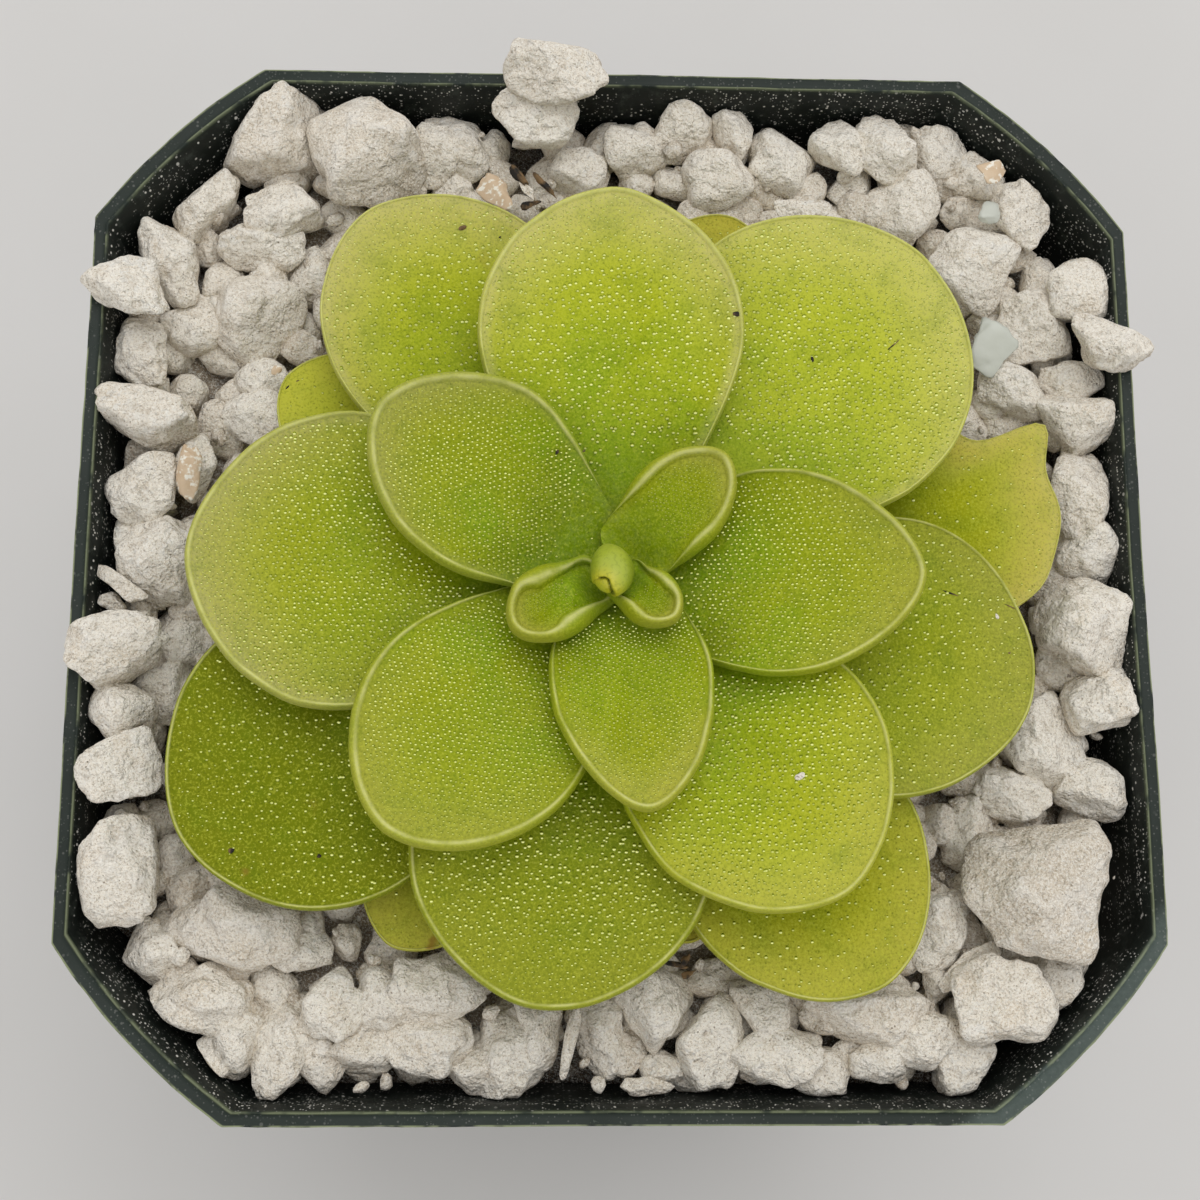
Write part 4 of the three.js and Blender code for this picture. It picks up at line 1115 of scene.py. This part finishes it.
def pot_profile():
    """(half width, height, inside, worn and painted-highlit edge) from the underside, over the rim,
    to the floor.
    """
    outer = [(0.6, 0), (8, 0), (20, 0), (29.2, 0), (29.8, 0.06), (30.4, 0.35), (30.9, 0.8)]
    outer += [(31.0, 1.3)] + [(31 + 7.6 * (z - 1) / 63, z) for z in np.linspace(3, 62, 14)]
    outer += [(38.5, 63.6), (38.65, 64.0), (39.0, 64.5), (39.7, 65.9), (39.95, 66.3), (40.05, 66.8)]
    outer += [(40 + 2.6 * (z - 66.5) / 19.5, z) for z in (69, 73, 77, 81, 83.4)]
    outer += [(42.4, 83.9), (42.7, 84.05), (42.95, 84.3), (43.0, 84.6), (43.0, 85.5)]
    rim = [
        (43.0, 85.85, 0, 0.7), (42.97, 85.93, 0, 1), (42.9, 85.96, 0, 0.7), (42.84, 85.93, 0, 0),
        (42.7, 85.9, 0, 0), (42.4, 85.85, 0, 0), (42.14, 85.8, 0, 0), (42.08, 85.84, 0, 0.1),
        (42.02, 85.97, 0, 0.5), (41.95, 86.0, 0, 0.5), (41.88, 85.96, 0.1, 0.3),
        (41.8, 85.75, 0.6, 0), (41.68, 85.4, 1, 0),
    ]
    high = (85, 84, 83, 82, 81, 80, 78, 74, 70, 67)
    inner = [(41.6 - 2.6 * (86 - z) / 19.5, z) for z in high] + [(39, 66.5), (37.6, 64)]
    inner += [(37.6 - 7.6 * (64 - z) / 63, z) for z in (56, 44, 32, 20, 8, 3)]
    inner += [(29.4, 1.7), (28.6, 1.4), (12, 1.4), (0.6, 1.4)]
    return [(*row, 0, 0) for row in outer] + rim + [(*row, 1, 0) for row in inner]


def add_pot(material):
    loop = pot_outline()
    profile = pot_profile()
    points = []
    for half, z, inside, worn in profile:
        # The moulded edge is a little uneven, and the walls bow slightly.
        plan = columns(*(loop * RIM_HALF).T, z / 6)
        rough = noise(plan, 1.1, 41, 2) * (0.045 if worn > 0.2 else 0.0)
        rough += noise(plan, 22, 43) * 0.12 * min(1, z / 20)
        points.append(columns(*(loop * half * (1 + rough / max(half, 5))[:, None]).T, z))
    flat = np.concatenate(points + [[[0, 0, 0]], [[0, 0, 1.4]]])
    fields = {
        "inside": np.append(np.repeat([row[2] for row in profile], len(loop)), [0, 1]),
        "worn": np.append(np.repeat([row[3] for row in profile], len(loop)), [0, 0]),
    }
    faces = shell_faces(len(points), len(loop))
    piece = add_mesh("pot_moulded", flat, faces, material, fields)
    drill_drains(piece, material)
    settle(piece, "pot_plastic", "pot")


def drill_drains(piece, material):
    """Cuts the four round drain holes through the floor."""
    n = DRAIN_SIDES
    turn = 2 * np.pi * np.arange(n) / n
    ends = [list(range(n - 1, -1, -1)), list(range(n, 2 * n))]
    cutters = []
    for x, y in itertools.product((-DRAIN_OFFSET, DRAIN_OFFSET), repeat=2):
        ring = (x + DRAIN_RADIUS * np.cos(turn), y + DRAIN_RADIUS * np.sin(turn))
        points = np.concatenate([columns(*ring, -2), columns(*ring, 4)])
        faces = grid_faces(2, n).tolist() + ends
        cutters.append(add_mesh("drain", points, faces, material, smooth=False))
        cut = piece.modifiers.new("drain", "BOOLEAN")
        cut.operation = "DIFFERENCE"
        cut.solver = "EXACT"
        cut.object = cutters[-1]
    bpy.context.view_layer.update()
    evaluated = piece.evaluated_get(bpy.context.evaluated_depsgraph_get())
    drilled = bpy.data.meshes.new_from_object(evaluated)
    piece.modifiers.clear()
    piece.data = drilled
    for cutter in cutters:
        bpy.data.objects.remove(cutter)


# ---- camera, light and floor
def add_camera():
    data = bpy.data.cameras.new("camera")
    data.sensor_width = 36
    data.lens = 54.61
    data.clip_start = 0.01
    camera = add_object("camera", data)
    camera.location = Vector((-6.5665, -31.7931, 228.2495)) * MM
    camera.rotation_euler = (0.2028, -0.0376, 0.0001)
    bpy.context.scene.camera = camera


def add_surroundings():
    """A soft pale room, one large round window, and the floor."""
    world = bpy.data.worlds.new("soft_studio")
    world.use_nodes = True
    room = world.node_tree.nodes["Background"]
    room.inputs["Color"].default_value = (1.0, 0.99, 0.975, 1)
    room.inputs["Strength"].default_value = 0.74
    bpy.context.scene.world = world
    bpy.context.scene.view_settings.view_transform = "Standard"
    data = bpy.data.lights.new("window", "AREA")
    data.shape = "DISK"
    data.size = 1.3
    data.energy = 8.2
    window = add_object("window", data)
    window.location = (0.22, 0.62, 1.6)
    towards_plant = Vector((0, 0, 0.08)) - window.location
    window.rotation_euler = towards_plant.to_track_quat("-Z", "Y").to_euler()
    size = 4000
    corners = [(-size, -size, 0), (size, -size, 0), (size, size, 0), (-size, size, 0)]
    add_mesh("floor", corners, [(0, 1, 2, 3)], floor_material())


# ---- the whole plant
draw = np.random.default_rng(RANDOM_SEED)
add_camera()
add_surroundings()
add_pot(pot_material())
stem = mottled("stem", (1.5, 3), (0.36, 0.40, 0.10), (0.50, 0.50, 0.20), 0.5, (0.4, 3, 0.05, 0.5))
for name, material in (("growing_mix", soil_material()), ("stem", stem)):
    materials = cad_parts[name].data.materials
    materials.clear()
    materials.append(material)

pumice = pumice_material()
stones, tints = top_stones(draw)
half = len(stones) // 2
add_stones("pumice_stones_left", stones[:half], tints[:half], pumice, "pumice_top_dressing")
add_stones("pumice_stones_right", stones[half:], tints[half:], pumice)
add_stones("pumice_fill", *filler_stones(draw), pumice)
add_stones("pumice_grit", *grit(draw), pumice)
add_flakes("pale_flakes", PALE_FLAKES, draw, pumice)
add_flakes("tan_shells", SHELLS, draw, shell_material())
glassy = mottled(
    "glassy_flake", (1.4, 3), (0.52, 0.54, 0.47), (0.62, 0.64, 0.58), 0.3, (0.8, 2, 0.04, 0.5),
    Specular_IOR_Level=0.5,
)
add_flakes("glassy_flakes", GLASSY, draw, glassy)
black, brown = (0.012, 0.009, 0.006), (0.20, 0.12, 0.05)
dirt = mottled("litter", (1.1, 3, 0.42, 0.60), black, brown, 0.8, (0.3, 3, 0.06, 0.8))
add_flakes("dry_litter", LITTER, draw, dirt)
add_specks("specks_on_leaves", SPECKS, draw, dirt, "growing_mix")
add_specks("crumbs_on_leaves", CRUMBS, draw, pumice, "pumice")
add_bed(pumice)

# Name, colours at the base, the middle and the tip, spacing of the glands in mm, gloss.
FINISHES = [
    ("young_leaf", (0.26, 0.37, 0.006), (0.28, 0.36, 0.002), (0.34, 0.35, 0.004), 0.3, 0.15),
    ("leaf", (0.23, 0.36, 0.004), (0.37, 0.45, 0.002), (0.50, 0.51, 0.02), 0.36, 0.15),
    ("old_leaf", (0.21, 0.29, 0.002), (0.31, 0.36, 0.002), (0.44, 0.43, 0.008), 0.42, 0.08),
]
AGE_GROUPS = 4 * [0] + 10 * [1] + 7 * [2]  # each leaf's row in FINISHES
materials = [leaf_material(*finish) for finish in FINISHES]
dew = dew_material()
for leaf, group in zip(LEAVES, AGE_GROUPS):
    slot = FINISHES[group][0]
    add_leaf(leaf, materials[group], slot)
    add_droplets(leaf, dew, slot, draw)
add_bud(bud_material())
